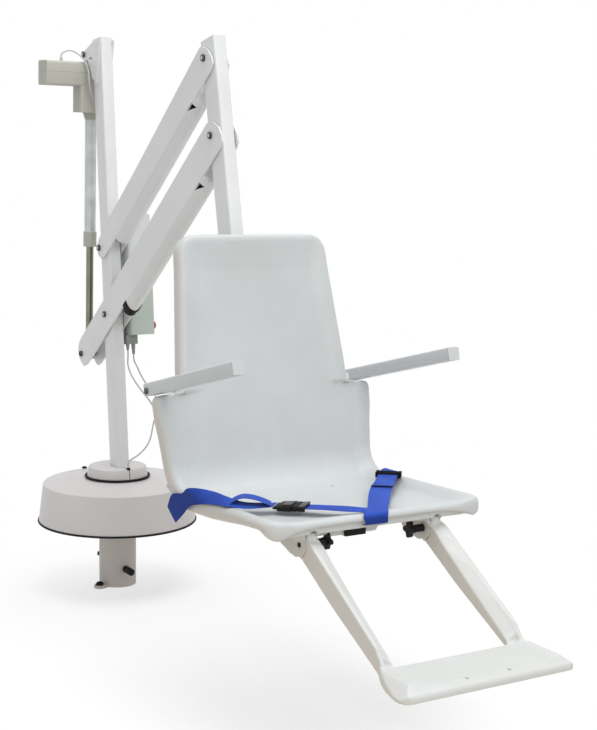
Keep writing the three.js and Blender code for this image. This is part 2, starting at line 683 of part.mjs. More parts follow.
// Collar: a split cap round the mast's foot, with a slit at the front and a grommet at its end
function collarCover() {
  const low = CROWN_Z + TOUCH_GAP;
  const high = COLLAR_TOP_Z;
  const wall = COLLAR_WALL;
  const outer = [[COLLAR_RADIUS, low], [COLLAR_TOP_RADIUS, high - COLLAR_ROUND],
    [COLLAR_TOP_RADIUS - COLLAR_ROUND / 4, high - COLLAR_ROUND / 4], [COLLAR_TOP_RADIUS - COLLAR_ROUND, high], [0, high]];
  const inner = [[0, high - wall], [COLLAR_TOP_RADIUS - COLLAR_ROUND, high - wall],
    [COLLAR_TOP_RADIUS - wall, high - COLLAR_ROUND], [COLLAR_RADIUS - wall, low]];
  let cover = turned([...outer, ...inner], FINE);
  cover = cover.subtract(mastSolid(2 * RUN_GAP));
  cover = cover.subtract(block([-SLIT_WIDTH / 2, -2 * COLLAR_RADIUS, 0], [SLIT_WIDTH / 2, 0, 2 * high]));
  return cover.subtract(rod(GROMMET_RADIUS - COLLAR_WALL / 2 + TOUCH_GAP, low, 2 * high, COARSE)
    .translate([0, GROMMET_Y, 0]));
}

function collarTrim() {
  const low = CROWN_Z + TOUCH_GAP;
  const mid = low + RING_THICK;
  const profile = [];
  for (let i = 0; i < RING_SIDES; i += 1) {
    const a = TAU * (i + 1 / 2) / RING_SIDES;
    profile.push([RING_RADIUS + RING_THICK * Math.cos(a), mid + RING_THICK * Math.sin(a)]);
  }
  const cut = block([-RING_GAP / 2, -2 * RING_RADIUS, 0], [RING_GAP / 2, 0, 2 * low]);
  return turned(profile, FINE).subtract(cut);
}

// A grommet's flange sits on its cover at height 0 and its neck reaches down through the hole
function grommet(wall) {
  const neck = GROMMET_RADIUS - COLLAR_WALL / 2;
  return turned([[GROMMET_BORE, -wall], [neck, -wall], [neck, 0], [GROMMET_RADIUS, 0],
    [GROMMET_RADIUS, GROMMET_HEIGHT / 2], [neck, GROMMET_HEIGHT], [GROMMET_BORE, GROMMET_HEIGHT]], COARSE);
}

function cordGrommet() {
  return grommet(2 * COLLAR_WALL).translate([0, GROMMET_Y, COLLAR_TOP_Z + TOUCH_GAP]);
}

// The drum's top slopes, so its grommet stands square to the slope
function drumSpot(lift) {
  const slope = Math.atan2(CROWN_Z - SHOULDER_Z, SHOULDER_RADIUS - CROWN_RADIUS);
  const reach = DRUM_GROMMET.length();
  const height = SHOULDER_Z + (SHOULDER_RADIUS - reach) * Math.tan(slope);
  const out = DRUM_GROMMET.clone().setLength(Math.sin(slope));
  const normal = new THREE.Vector3(out.x, out.y, Math.cos(slope));
  return new THREE.Vector3(DRUM_GROMMET.x, DRUM_GROMMET.y, height).addScaledVector(normal, lift);
}

function drumGrommet() {
  return aimed(grommet(2 * DRUM_WALL), drumSpot(TOUCH_GAP), drumSpot(2 * DRUM_WALL));
}

// Rectangular tube along a leaning line in the plane x = 0
function leanFrame(base, lean) {
  return new THREE.Matrix4().makeTranslation(0, base.x, base.y)
    .multiply(new THREE.Matrix4().makeRotationX(-lean));
}

const MAST_BASE = new THREE.Vector2(MAST_FOOT_Y, 0);
const MAST_FRAME = leanFrame(MAST_BASE, MAST_RAKE);

// The mast ends a little above the actuator's pivot
const MAST_WAY = new THREE.Vector2(Math.sin(MAST_RAKE), Math.cos(MAST_RAKE));
const MAST_LENGTH = GUSSET_PIVOT.clone().sub(MAST_BASE).dot(MAST_WAY) + MAST_ABOVE;

function mastSolid(grow) {
  const outline = roundedOutline(MAST_WIDTH + 2 * grow, MAST_DEPTH + 2 * grow, TUBE_ROUND + grow);
  return placed(plateZ(outline, 0, MAST_LENGTH), MAST_FRAME);
}

function tube(width, depth, low, high) {
  const outer = roundedOutline(width, depth, TUBE_ROUND);
  const inner = roundedOutline(width - 2 * TUBE_WALL, depth - 2 * TUBE_WALL, TUBE_ROUND - TUBE_WALL);
  return plateZ(outer, low, high, [inner.reverse()]);
}

function mast() {
  let body = placed(tube(MAST_WIDTH, MAST_DEPTH, HUB_TOP_Z / 2, MAST_LENGTH), MAST_FRAME);
  body = body.subtract(block([-MAST_WIDTH, -MAST_LENGTH, 0], [MAST_WIDTH, MAST_LENGTH, HUB_TOP_Z + TOUCH_GAP]));
  const core = mastSolid(-TOUCH_GAP);
  for (const side of [-1, 1]) {
    const low = side < 0 ? -MAST_WIDTH / 2 - GUSSET_THICK : MAST_WIDTH / 2 - TOUCH_GAP;
    let plate = plateX(GUSSET_OUTLINE, low, low + GUSSET_THICK + TOUCH_GAP, [GUSSET_HOLE]);
    plate = plate.subtract(core);
    plate = plate.subtract(rodX(BOLT_RADIUS + BOLT_CLEAR, -MAST_WIDTH, MAST_WIDTH, GUSSET_PIVOT));
    body = body.add(plate);
  }
  for (const pivot of [UM, LM]) body = body.subtract(rodX(BOLT_RADIUS + BOLT_CLEAR, -MAST_WIDTH, MAST_WIDTH, pivot));
  const leadHole = block([-LEAD_HOLE_RADIUS, 0, LEAD_INTO - LEAD_HOLE_RADIUS],
    [LEAD_HOLE_RADIUS, MAST_DEPTH, LEAD_INTO + LEAD_HOLE_RADIUS]);
  body = body.subtract(placed(leadHole, MAST_FRAME));
  return body.add(tubeCap(MAST_WIDTH, MAST_DEPTH, MAST_LENGTH, MAST_FRAME)).add(boxRail());
}

// A welded plate that closes a tube's top end
function tubeCap(width, depth, length, frame) {
  return placed(plateZ(roundedOutline(width, depth, TUBE_ROUND), length - CAP_THICK, length), frame);
}

// A through bolt with a socket head at each end
function pivotBolt(pivot, reach) {
  const socket = reach + BOLT_HEAD - BOLT_SOCKET;
  const half = [[0, 0], [BOLT_RADIUS, 0], [BOLT_RADIUS, reach], [BOLT_HEAD_RADIUS, reach],
    [BOLT_HEAD_RADIUS, reach + BOLT_HEAD - BOLT_EDGE], [BOLT_HEAD_RADIUS - BOLT_EDGE, reach + BOLT_HEAD],
    [BOLT_SOCKET_RADIUS, reach + BOLT_HEAD], [BOLT_SOCKET_RADIUS, socket], [0, socket]];
  const mirror = [...half].reverse().map(([r, z]) => [r, -z]);
  const profile = [...half.slice(1), ...mirror.slice(0, -1)];
  const from = new THREE.Vector3(0, pivot.x, pivot.y);
  return aimed(turned(profile, COARSE), from, new THREE.Vector3(MAST_WIDTH, pivot.x, pivot.y));
}

// One head with a short stem, fixed in one lug plate
function lugBolt(side) {
  const inner = ARM_HALF - PLATE_THICK + TOUCH_GAP;
  const outer = ARM_HALF + TOUCH_GAP;
  const profile = [[0, inner], [BOLT_RADIUS, inner], [BOLT_RADIUS, outer], [BOLT_HEAD_RADIUS, outer],
    [BOLT_HEAD_RADIUS, outer + BOLT_HEAD - BOLT_EDGE], [BOLT_HEAD_RADIUS - BOLT_EDGE, outer + BOLT_HEAD],
    [BOLT_SOCKET_RADIUS, outer + BOLT_HEAD], [BOLT_SOCKET_RADIUS, outer + BOLT_HEAD - BOLT_SOCKET],
    [0, outer + BOLT_HEAD - BOLT_SOCKET]];
  const from = new THREE.Vector3(0, LUG.x, LUG.y);
  return aimed(turned(profile, COARSE), from, new THREE.Vector3(side * MAST_WIDTH, LUG.x, LUG.y));
}

// Arm: two lug plates joined by a web above and a rounded trough below
function troughOutline(half, top, bottom) {
  const points = [[half, top], [-half, top]];
  const centre = bottom + half;
  for (let i = 0; i <= TROUGH_STEPS; i += 1) {
    const a = Math.PI + Math.PI * i / TROUGH_STEPS;
    points.push([half * Math.cos(a), centre + half * Math.sin(a)]);
  }
  return points;
}

function arm(pivot, outline, trough, holes) {
  const frame = new THREE.Matrix4().makeBasis(
    new THREE.Vector3(1, 0, 0), new THREE.Vector3(0, ACROSS.x, ACROSS.y), new THREE.Vector3(0, ALONG.x, ALONG.y));
  frame.setPosition(0, pivot.x, pivot.y);
  const outer = troughOutline(ARM_HALF, trough.top, trough.bottom);
  const inner = troughOutline(ARM_HALF - PLATE_THICK, trough.top - WEB_THICK, trough.bottom + WEB_THICK);
  const end = ARM_LENGTH - trough.back;
  let channel = plateZ(outer, trough.start, end, [inner.reverse()]);
  channel = channel.add(plateZ(outer, end - WEB_THICK, end));
  channel = placed(channel, frame);
  let body = channel;
  for (const side of [-1, 1]) {
    const low = side < 0 ? -ARM_HALF : ARM_HALF - PLATE_THICK;
    body = body.add(plateX(armOutline(pivot, outline), low, low + PLATE_THICK));
  }
  const near = ARM_LENGTH - NOTCH_BACK;
  const notch = [[near, trough.bottom + NOTCH_HIGH], [near + NOTCH_LONG, trough.bottom + NOTCH_HIGH],
    [near + NOTCH_LONG, trough.bottom + NOTCH_LOW]];
  for (const side of [-1, 1]) {
    body = body.subtract(plateX(armOutline(pivot, notch), ...sided(side, NOTCH_IN, ARM_HALF + PLATE_THICK)));
  }
  for (const hole of holes) {
    body = body.subtract(rodX(BOLT_RADIUS + BOLT_CLEAR, -MAST_WIDTH, MAST_WIDTH, hole));
  }
  return body;
}

function armBumper() {
  const end = LOWER_TROUGH.start - TOUCH_GAP;
  const start = end - BUMPER_THICK;
  const bottom = LOWER_TROUGH.bottom - BUMPER_OUT;
  const half = ARM_HALF - PLATE_THICK - TOUCH_GAP;
  const frame = new THREE.Matrix4().makeBasis(
    new THREE.Vector3(1, 0, 0), new THREE.Vector3(0, ACROSS.x, ACROSS.y), new THREE.Vector3(0, ALONG.x, ALONG.y));
  frame.setPosition(0, LM.x, LM.y);
  const outer = troughOutline(half, BUMPER_TOP, bottom);
  const inner = troughOutline(half - BUMPER_WALL, BUMPER_TOP + BUMPER_WALL, bottom + BUMPER_WALL);
  return placed(plateZ(outer, start, end), frame).subtract(placed(plateZ(inner, 0, start + BUMPER_THICK / 3), frame));
}

// Upright: its middle line leans back and passes in front of the two arm pivots
const UPRIGHT_BASE = new THREE.Vector2(UU.x + UPRIGHT_SHIFT, UU.y);
const UPRIGHT_FRAME = leanFrame(UPRIGHT_BASE, UPRIGHT_LEAN);

function upright() {
  let body = placed(tube(UPRIGHT_WIDTH, UPRIGHT_DEPTH, -UPRIGHT_BELOW, UPRIGHT_ABOVE), UPRIGHT_FRAME);
  for (const pivot of [UU, LU]) body = body.subtract(rodX(BOLT_RADIUS + BOLT_CLEAR, -MAST_WIDTH, MAST_WIDTH, pivot));
  return body.add(tubeCap(UPRIGHT_WIDTH, UPRIGHT_DEPTH, UPRIGHT_ABOVE, UPRIGHT_FRAME));
}

// Chair path: a straight back, a bend and a straight seat, each station giving place and outward normal
const BACK_WAY = new THREE.Vector2(-Math.sin(BACK_LEAN), -Math.cos(BACK_LEAN));
const SEAT_WAY = new THREE.Vector2(-Math.cos(SEAT_RISE), Math.sin(SEAT_RISE));
const BEND_ANGLE = Math.acos(BACK_WAY.dot(SEAT_WAY));
const BEND_TANGENT = BEND_RADIUS * Math.tan(BEND_ANGLE / 2);

function corner() {
  const across = BACK_WAY.x * SEAT_WAY.y - BACK_WAY.y * SEAT_WAY.x;
  const gap = SEAT_FRONT.clone().sub(BACK_TOP);
  const reach = (gap.x * SEAT_WAY.y - gap.y * SEAT_WAY.x) / across;
  return BACK_TOP.clone().addScaledVector(BACK_WAY, reach);
}

const SEAT_CORNER = corner();
const BACK_STRAIGHT = SEAT_CORNER.distanceTo(BACK_TOP) - BEND_TANGENT;
const BEND_LENGTH = BEND_RADIUS * BEND_ANGLE;
const SEAT_STRAIGHT = SEAT_CORNER.distanceTo(SEAT_FRONT) - BEND_TANGENT;
const PATH_LENGTH = BACK_STRAIGHT + BEND_LENGTH + SEAT_STRAIGHT;

// The normal points out of the sitting side
function station(s) {
  const backNormal = new THREE.Vector2(BACK_WAY.y, -BACK_WAY.x);
  if (s <= BACK_STRAIGHT) return { place: BACK_TOP.clone().addScaledVector(BACK_WAY, s), normal: backNormal };
  const turn = Math.min((s - BACK_STRAIGHT) / BEND_RADIUS, BEND_ANGLE);
  const start = BACK_TOP.clone().addScaledVector(BACK_WAY, BACK_STRAIGHT);
  const centre = start.clone().addScaledVector(backNormal, BEND_RADIUS);
  const arm = backNormal.clone().multiplyScalar(-BEND_RADIUS).rotateAround(new THREE.Vector2(), -turn);
  const place = centre.clone().add(arm);
  const normal = arm.clone().negate().normalize();
  if (turn < BEND_ANGLE) return { place, normal };
  return { place: place.addScaledVector(SEAT_WAY, s - BACK_STRAIGHT - BEND_LENGTH), normal };
}

function widthAt(s) {
  let half = WIDTH_STATIONS[WIDTH_STATIONS.length - 1][1];
  for (let i = 1; i < WIDTH_STATIONS.length; i += 1) {
    const [s0, w0] = WIDTH_STATIONS[i - 1];
    const [s1, w1] = WIDTH_STATIONS[i];
    if (s >= s0 && s <= s1) half = w0 + (w1 - w0) * (s - s0) / (s1 - s0);
  }
  const fromTop = Math.min(s, TOP_CORNER);
  const fromFront = Math.min(PATH_LENGTH - s, FRONT_CORNER);
  half -= TOP_CORNER - Math.sqrt(Math.max(TOP_CORNER ** 2 - (TOP_CORNER - fromTop) ** 2, 0));
  half -= FRONT_CORNER - Math.sqrt(Math.max(FRONT_CORNER ** 2 - (FRONT_CORNER - fromFront) ** 2, 0));
  return half;
}

// Depth of the shell, thinner under the seat and deep again at the front lip
function thickAt(s) {
  const ahead = PATH_LENGTH - s;
  let thick = SHELL_THICK;
  for (let i = 1; i < THICK_STATIONS.length; i += 1) {
    const [s0, t0] = THICK_STATIONS[i - 1];
    const [s1, t1] = THICK_STATIONS[i];
    if (ahead >= s0 && ahead <= s1) thick = t0 + (t1 - t0) * (ahead - s0) / (s1 - s0);
  }
  return thick;
}

function smooth(t) {
  const c = Math.min(Math.max(t, 0), 1);
  return c * c * (3 - 2 * c);
}

function dishAt(s, x, half) {
  const seatShare = smooth((s - BACK_STRAIGHT) / BEND_LENGTH);
  const depth = BACK_DISH + (SEAT_DISH - BACK_DISH) * seatShare;
  const ends = smooth(s / DISH_END) * (1 - LIP_DISH_SHARE * smooth((s - PATH_LENGTH + DISH_END) / DISH_END));
  return depth * ends * smooth((half - DISH_RIM - Math.abs(x)) / DISH_SLOPE);
}

function pathStations() {
  const list = TOP_STEP_SHARES.map((share) => share * TOP_CORNER);
  list.push(DISH_END, 2 * DISH_END);
  for (const [s] of WIDTH_STATIONS) if (s > DISH_END && s < BACK_STRAIGHT) list.push(s);
  for (let i = 0; i <= BEND_STEPS; i += 1) list.push(BACK_STRAIGHT + BEND_LENGTH * i / BEND_STEPS);
  for (const share of SEAT_STEP_SHARES) list.push(PATH_LENGTH - SEAT_STRAIGHT * (1 - share));
  for (const share of LIP_STEP_SHARES) list.push(PATH_LENGTH - share * DISH_END);
  return list.sort((a, b) => a - b);
}

// One closed ring of the shell: across the sitting side, round one edge, along the hidden side and back
function shellRing(s) {
  const { place, normal } = station(s);
  const half = widthAt(s);
  const thick = thickAt(s);
  const endIn = Math.min(s, PATH_LENGTH - s, EDGE_ROUND);
  const tuck = EDGE_ROUND - Math.sqrt(Math.max(EDGE_ROUND ** 2 - (EDGE_ROUND - endIn) ** 2, 0));
  const shares = [...RIM_SHARES.map((share) => -share).reverse(), 0, ...RIM_SHARES];
  const section = shares.map((share) => {
    const x = share * (half - EDGE_ROUND);
    return [x, -tuck - dishAt(s, x, half)];
  });
  const low = -thick + tuck;
  const round = Math.min(EDGE_ROUND, (-tuck - low) / 2);
  const edge = [];
  for (let i = 0; i <= ROUND_STEPS; i += 1) {
    const a = TAU / 4 * (1 - i / ROUND_STEPS);
    edge.push([half - EDGE_ROUND + EDGE_ROUND * Math.cos(a), -tuck - round + round * Math.sin(a)]);
  }
  for (let i = 0; i <= UNDER_STEPS; i += 1) {
    const a = -TAU / 4 * i / UNDER_STEPS;
    edge.push([half - EDGE_ROUND + EDGE_ROUND * Math.cos(a), low + round + round * Math.sin(a)]);
  }
  section.push(...edge, ...edge.map(([x, v]) => [-x, v]).reverse());
  return section.map(([x, v]) => [x, place.x + v * normal.x, place.y + v * normal.y]);
}

function loft(rings) {
  const positions = rings.flat(2);
  const count = rings[0].length;
  const index = [];
  for (let r = 0; r + 1 < rings.length; r += 1) {
    for (let i = 0; i < count; i += 1) {
      const a = r * count + i;
      const b = r * count + (i + 1) % count;
      index.push(a, a + count, b, b, a + count, b + count);
    }
  }
  const last = (rings.length - 1) * count;
  for (let i = 1; i + 1 < count; i += 1) {
    index.push(0, i, i + 1);
    index.push(last, last + i + 1, last + i);
  }
  const geometry = new THREE.BufferGeometry();
  geometry.setAttribute('position', new THREE.Float32BufferAttribute(positions, 3));
  geometry.setIndex(index);
  return geometry;
}

function rawShell() {
  return solid(loft(pathStations().map(shellRing)));
}

function sided(side, near, far) {
  return side > 0 ? [near, far] : [-far, -near];
}

// Moulded pods and forks for the footrest legs and a channel for the seat tube, under the seat
function chairShell() {
  let body = rawShell();
  if (body.volume() < 0) throw new Error('The chair shell is inside out');
  for (const side of [-1, 1]) {
    const [low, high] = sided(side, LEG_IN, LEG_IN + LEG_WIDTH);
    body = body.add(plateX(POD_OUTLINE, ...sided(side, POD_IN, POD_OUT)));
    body = body.add(plateX(FORK_OUTLINE, low, high)).add(rodX(FORK_NOSE, low, high, KNEE, MEDIUM));
  }
  body = body.add(plateX(CHANNEL_OUTLINE, -CHANNEL_HALF, CHANNEL_HALF));
  const bay = KNEE_RADIUS + RUN_GAP;
  for (const side of [-1, 1]) {
    const [low, high] = sided(side, LEG_IN + FORK_WALL, LEG_IN + LEG_WIDTH - FORK_WALL);
    const mouth = [[KNEE.x, KNEE.y + bay], [KNEE.x - 2 * bay, KNEE.y + bay], [KNEE.x - 2 * bay, KNEE.y - 2 * bay],
      [KNEE.x + bay, KNEE.y - 2 * bay], [KNEE.x + bay, KNEE.y]];
    body = body.subtract(rodX(bay, low, high, KNEE, MEDIUM)).subtract(plateX(mouth, low, high));
    const hole = sided(side, LEG_IN - LEG_WIDTH, LEG_IN + 2 * LEG_WIDTH);
    body = body.subtract(rodX(KNOB_STUD_RADIUS + TOUCH_GAP, ...hole, KNEE));
  }
  body = body.subtract(seatFrameSolid(TOUCH_GAP, true));
  return body.subtract(archCut());
}

// The front lip's lower edge is arched upwards between the corners
function archCut() {
  const points = [];
  const base = SEAT_FRONT.y - SHELL_THICK - RUN_GAP;
  for (let i = 0; i <= ARCH_STEPS; i += 1) {
    const share = -1 + 2 * i / ARCH_STEPS;
    points.push([share * ARCH_HALF, base + ARCH_RISE * (1 - Math.abs(share) ** ARCH_POWER)]);
  }
  points.push([ARCH_HALF, base - SHELL_THICK], [-ARCH_HALF, base - SHELL_THICK]);
  const turn = new THREE.Matrix4().makeRotationX(Math.PI / 2);
  return placed(plateZ(points, 0, 2 * ARCH_DEPTH), turn).translate([0, SEAT_FRONT.x + ARCH_DEPTH, 0]);
}

// Seat frame: a flat tube down the chair's back and forward under the seat, with pads to the upright
const BACK_NORMAL = new THREE.Vector2(BACK_WAY.y, -BACK_WAY.x);
const SEAT_NORMAL = new THREE.Vector2(SEAT_WAY.y, -SEAT_WAY.x);

function offsetCorner(backDepth, seatDepth) {
  const back = SEAT_CORNER.clone().addScaledVector(BACK_NORMAL, -backDepth);
  const seat = SEAT_CORNER.clone().addScaledVector(SEAT_NORMAL, -seatDepth);
  const across = BACK_WAY.x * SEAT_WAY.y - BACK_WAY.y * SEAT_WAY.x;
  const gap = seat.clone().sub(back);
  const reach = (gap.x * SEAT_WAY.y - gap.y * SEAT_WAY.x) / across;
  return back.addScaledVector(BACK_WAY, reach);
}

const FRAME_NEAR = SHELL_THICK + TOUCH_GAP;

function seatFrameSolid(grow, extended) {
  const a = offsetCorner(FRAME_NEAR - grow, FRAME_NEAR + FRAME_DROP - grow);
  const b = offsetCorner(FRAME_NEAR + FRAME_DEPTH + grow, FRAME_NEAR + FRAME_DROP + FRAME_DEPTH + grow);
  const more = extended ? FRAME_DEPTH * 4 : 0;
  const backEnd = (FRAME_TOP_Z + more - a.y) / Math.cos(BACK_LEAN);
  const backShift = (a.y - b.y) / Math.cos(BACK_LEAN);
  const seatEnd = (a.x - FRAME_FRONT_Y + more) / Math.cos(SEAT_RISE);
  const seatShift = (b.x - a.x) / Math.cos(SEAT_RISE);
  const outline = [a.clone().addScaledVector(BACK_WAY, -backEnd), a, a.clone().addScaledVector(SEAT_WAY, seatEnd),
    b.clone().addScaledVector(SEAT_WAY, seatEnd + seatShift), b,
    b.clone().addScaledVector(BACK_WAY, -backEnd - backShift)];
  const half = FRAME_WIDTH / 2 + grow;
  return plateX(outline.map((p) => [p.x, p.y]), -half, half);
}

// Everything in front of the frame's rear face, used to trim the pads
function frontOfFrame() {
  const depth = FRAME_NEAR + FRAME_DEPTH - TUBE_WALL / 2;
  const b = offsetCorner(depth, depth);
  const top = b.clone().addScaledVector(BACK_WAY, -UPRIGHT_BELOW);
  const low = b.clone().addScaledVector(BACK_WAY, UPRIGHT_BELOW);
  const outline = [[low.x, low.y], [top.x, top.y], [top.x - UPRIGHT_BELOW, top.y], [low.x - UPRIGHT_BELOW, low.y]];
  return plateX(outline, -FRAME_WIDTH, FRAME_WIDTH);
}

function seatFrame() {
  let body = seatFrameSolid(0, false).subtract(seatFrameSolid(-TUBE_WALL, true));
  const front = frontOfFrame();
  const depth = UPRIGHT_DEPTH / 2 + TOUCH_GAP;
  for (const drop of [UPRIGHT_BELOW * UPPER_PAD_SHARE, UPRIGHT_BELOW - FRAME_PAD]) {
    const reach = UPRIGHT_DEPTH + FRAME_DEPTH;
    const pad = block([-UPRIGHT_WIDTH / 2, -reach, -drop - FRAME_PAD], [UPRIGHT_WIDTH / 2, -depth, -drop]);
    body = body.add(placed(pad, UPRIGHT_FRAME).subtract(front));
  }
  const half = CROSS_BAR / 2;
  const bar = placed(block([-REST_X + REST_SIZE / 2 + RUN_GAP, -half, -half],
    [REST_X - REST_SIZE / 2 - RUN_GAP, half, half]), leanFrame(REST_PIVOT, BACK_LEAN));
  body = body.add(bar);
  for (const side of [-1, 1]) {
    const edge = REST_X - REST_SIZE / 2;
    const [low, high] = sided(side, edge - REST_BOLT_REACH - RUN_GAP, edge);
    body = body.subtract(rodX(REST_BOLT_RADIUS + TOUCH_GAP, low, high, REST_PIVOT));
  }
  return body;
}

function frameEndCap() {
  const a = offsetCorner(FRAME_NEAR, FRAME_NEAR + FRAME_DROP);
  const b = offsetCorner(FRAME_NEAR + FRAME_DEPTH, FRAME_NEAR + FRAME_DROP + FRAME_DEPTH);
  const start = (a.x - FRAME_FRONT_Y) / Math.cos(SEAT_RISE) + TOUCH_GAP;
  const shift = (b.x - a.x) / Math.cos(SEAT_RISE);
  const spots = [[a, start], [a, start + FRAME_CAP], [b, start + FRAME_CAP + shift], [b, start + shift]];
  const outline = spots.map(([p, way]) => p.clone().addScaledVector(SEAT_WAY, way)).map((p) => [p.x, p.y]);
  return plateX(outline, -FRAME_WIDTH / 2, FRAME_WIDTH / 2);
}

// Actuator parts, in a frame whose Z runs up the actuator's own axis
const LEAN_ANGLE = Math.atan2(GUSSET_PIVOT.x - LUG.x, GUSSET_PIVOT.y - LUG.y);
const STROKE_FRAME = leanFrame(GUSSET_PIVOT, LEAN_ANGLE);
const PIN_SPAN = GUSSET_PIVOT.distanceTo(LUG);

function housing(low, high) {
  const outline = roundedOutline(HOUSING_REAR - HOUSING_FRONT, high - low, HOUSING_ROUND);
  const long = plateZ(outline, HOUSING_LEFT, HOUSING_RIGHT);
  const turn = new THREE.Matrix4().makeBasis(
    new THREE.Vector3(0, 1, 0), new THREE.Vector3(0, 0, 1), new THREE.Vector3(1, 0, 0));
  return placed(long, turn).translate([0, (HOUSING_FRONT + HOUSING_REAR) / 2, (low + high) / 2]);
}

function motorBay() {
  const wall = HOUSING_WALL;
  return block([HOUSING_LEFT + wall, HOUSING_FRONT + wall, HOUSING_BASE + wall],
    [HOUSING_BAY_END, HOUSING_REAR - wall, HOUSING_TOP - wall]);
}

function actuatorCover() {
  const seam = HOUSING_SEAM + TOUCH_GAP / 2;
  let body = housing(HOUSING_BASE, HOUSING_TOP).subtract(motorBay());
  const below = block([2 * HOUSING_LEFT, 2 * HOUSING_LEFT, 2 * GEARBOX_BASE], [-HOUSING_LEFT, -HOUSING_LEFT, seam]);
  body = body.subtract(below);
  const tang = plateX([[-TANG_RADIUS, HOUSING_TOP - HOUSING_WALL], [TANG_RADIUS, HOUSING_TOP - HOUSING_WALL],
    [TANG_RADIUS, 0], [-TANG_RADIUS, 0]], -TANG_HALF, TANG_HALF);
  body = body.add(tang).add(rodX(TANG_RADIUS, -TANG_HALF, TANG_HALF, new THREE.Vector2(0, 0), MEDIUM));
  body = body.subtract(rodX(BOLT_RADIUS + BOLT_CLEAR, -MAST_WIDTH, MAST_WIDTH, new THREE.Vector2(0, 0)));
  return placed(body.add(leadGland()), STROKE_FRAME);
}

function actuatorBody() {
  const seam = HOUSING_SEAM - TOUCH_GAP / 2;
  let body = housing(HOUSING_BASE, HOUSING_TOP).subtract(motorBay());
  body = body.subtract(block([2 * HOUSING_LEFT, 2 * HOUSING_LEFT, seam], [-HOUSING_LEFT, -HOUSING_LEFT, MAST_WIDTH]));
  const box = roundedBox([GEARBOX_LEFT, HOUSING_FRONT + GEARBOX_INSET, GEARBOX_BASE],
    [HOUSING_RIGHT, HOUSING_REAR - GEARBOX_INSET, HOUSING_BASE + HOUSING_WALL], HOUSING_ROUND);
  body = body.add(box);
  const rib = (GEARBOX_BASE - NECK_BASE) / (2 * NECK_RIBS + 1);
  const slope = (NECK_TOP_RADIUS - NECK_BASE_RADIUS) / (GEARBOX_BASE - NECK_BASE);
  const profile = [[0, GEARBOX_BASE + HOUSING_WALL], [0, NECK_BASE], [NECK_BASE_RADIUS, NECK_BASE]];
  for (let i = 0; i < NECK_RIBS; i += 1) {
    const z = NECK_BASE + (2 * i + 1) * rib;
    const radius = NECK_BASE_RADIUS + slope * (z - NECK_BASE);
    profile.push([radius, z], [radius - rib, z], [radius - rib, z + rib], [radius, z + rib]);
  }
  profile.push([NECK_TOP_RADIUS, GEARBOX_BASE], [NECK_TOP_RADIUS, GEARBOX_BASE + HOUSING_WALL]);
  body = body.add(turned(profile, MEDIUM));
  body = body.subtract(rod(SCREW_RADIUS + TOUCH_GAP, 2 * GEARBOX_BASE, HOUSING_BASE, COARSE));
  return placed(body, STROKE_FRAME);
}

function actuatorMotor() {
  const left = HOUSING_LEFT + HOUSING_WALL + TOUCH_GAP;
  const right = HOUSING_BAY_END - TOUCH_GAP;
  const centre = new THREE.Vector2((HOUSING_FRONT + HOUSING_REAR) / 2, (HOUSING_BASE + HOUSING_TOP) / 2);
  return placed(rodX(MOTOR_RADIUS, left, right, centre, MEDIUM), STROKE_FRAME);
}

function outerTube() {
  const low = END_RING_BASE + END_RING_FLOOR + TOUCH_GAP;
  const high = NECK_BASE - TOUCH_GAP;
  return placed(turned([[OUTER_TUBE_BORE, low], [OUTER_TUBE_RADIUS, low], [OUTER_TUBE_RADIUS, high],
    [OUTER_TUBE_BORE, high]], MEDIUM), STROKE_FRAME);
}

function endRing() {
  const bore = ROD_RADIUS + RUN_GAP;
  const floor = END_RING_BASE + END_RING_FLOOR;
  const sleeve = OUTER_TUBE_RADIUS + TOUCH_GAP;
  return placed(turned([[bore, END_RING_BASE], [END_RING_RADIUS, END_RING_BASE], [END_RING_RADIUS, END_RING_TOP],
    [sleeve, END_RING_TOP], [sleeve, floor], [bore, floor]], MEDIUM), STROKE_FRAME);
}

function driveScrew() {
  return placed(rod(SCREW_RADIUS, NECK_BASE - SCREW_REACH, HOUSING_BASE - HOUSING_WALL, COARSE), STROKE_FRAME);
}

function leadGland() {
  const low = HOUSING_TOP - HOUSING_WALL / 2;
  const high = HOUSING_TOP + LEAD_GLAND_HEIGHT;
  const stem = LEAD_GLAND_RADIUS / 2;
  return turned([[0, low], [LEAD_GLAND_RADIUS, low], [LEAD_GLAND_RADIUS, HOUSING_TOP + LEAD_GLAND_HEIGHT / 2],
    [stem, high], [0, high]], COARSE).translate([LEAD_GLAND.x, LEAD_GLAND.y, 0]);
}

// The rod carries its nut inside the outer tube and an eye with a short pin between the lug plates
function driveRod() {
  const eye = -PIN_SPAN;
  const top = END_RING_BASE + END_RING_FLOOR + ROD_START_GAP + ROD_NUT;
  const nut = top - ROD_NUT;
  let body = turned([[0, eye], [ROD_RADIUS, eye], [ROD_RADIUS, nut], [ROD_NUT_RADIUS, nut], [ROD_NUT_RADIUS, top],
    [ROD_BORE, top], [ROD_BORE, eye + 2 * EYE_RADIUS], [0, eye + 2 * EYE_RADIUS]], MEDIUM);
  const centre = new THREE.Vector2(0, eye);
  body = body.add(rodX(EYE_RADIUS, -EYE_HALF, EYE_HALF, centre, MEDIUM));
  body = body.add(rodX(EYE_PIN_RADIUS, -EYE_PIN_HALF, EYE_PIN_HALF, centre));
  return placed(body, STROKE_FRAME);
}

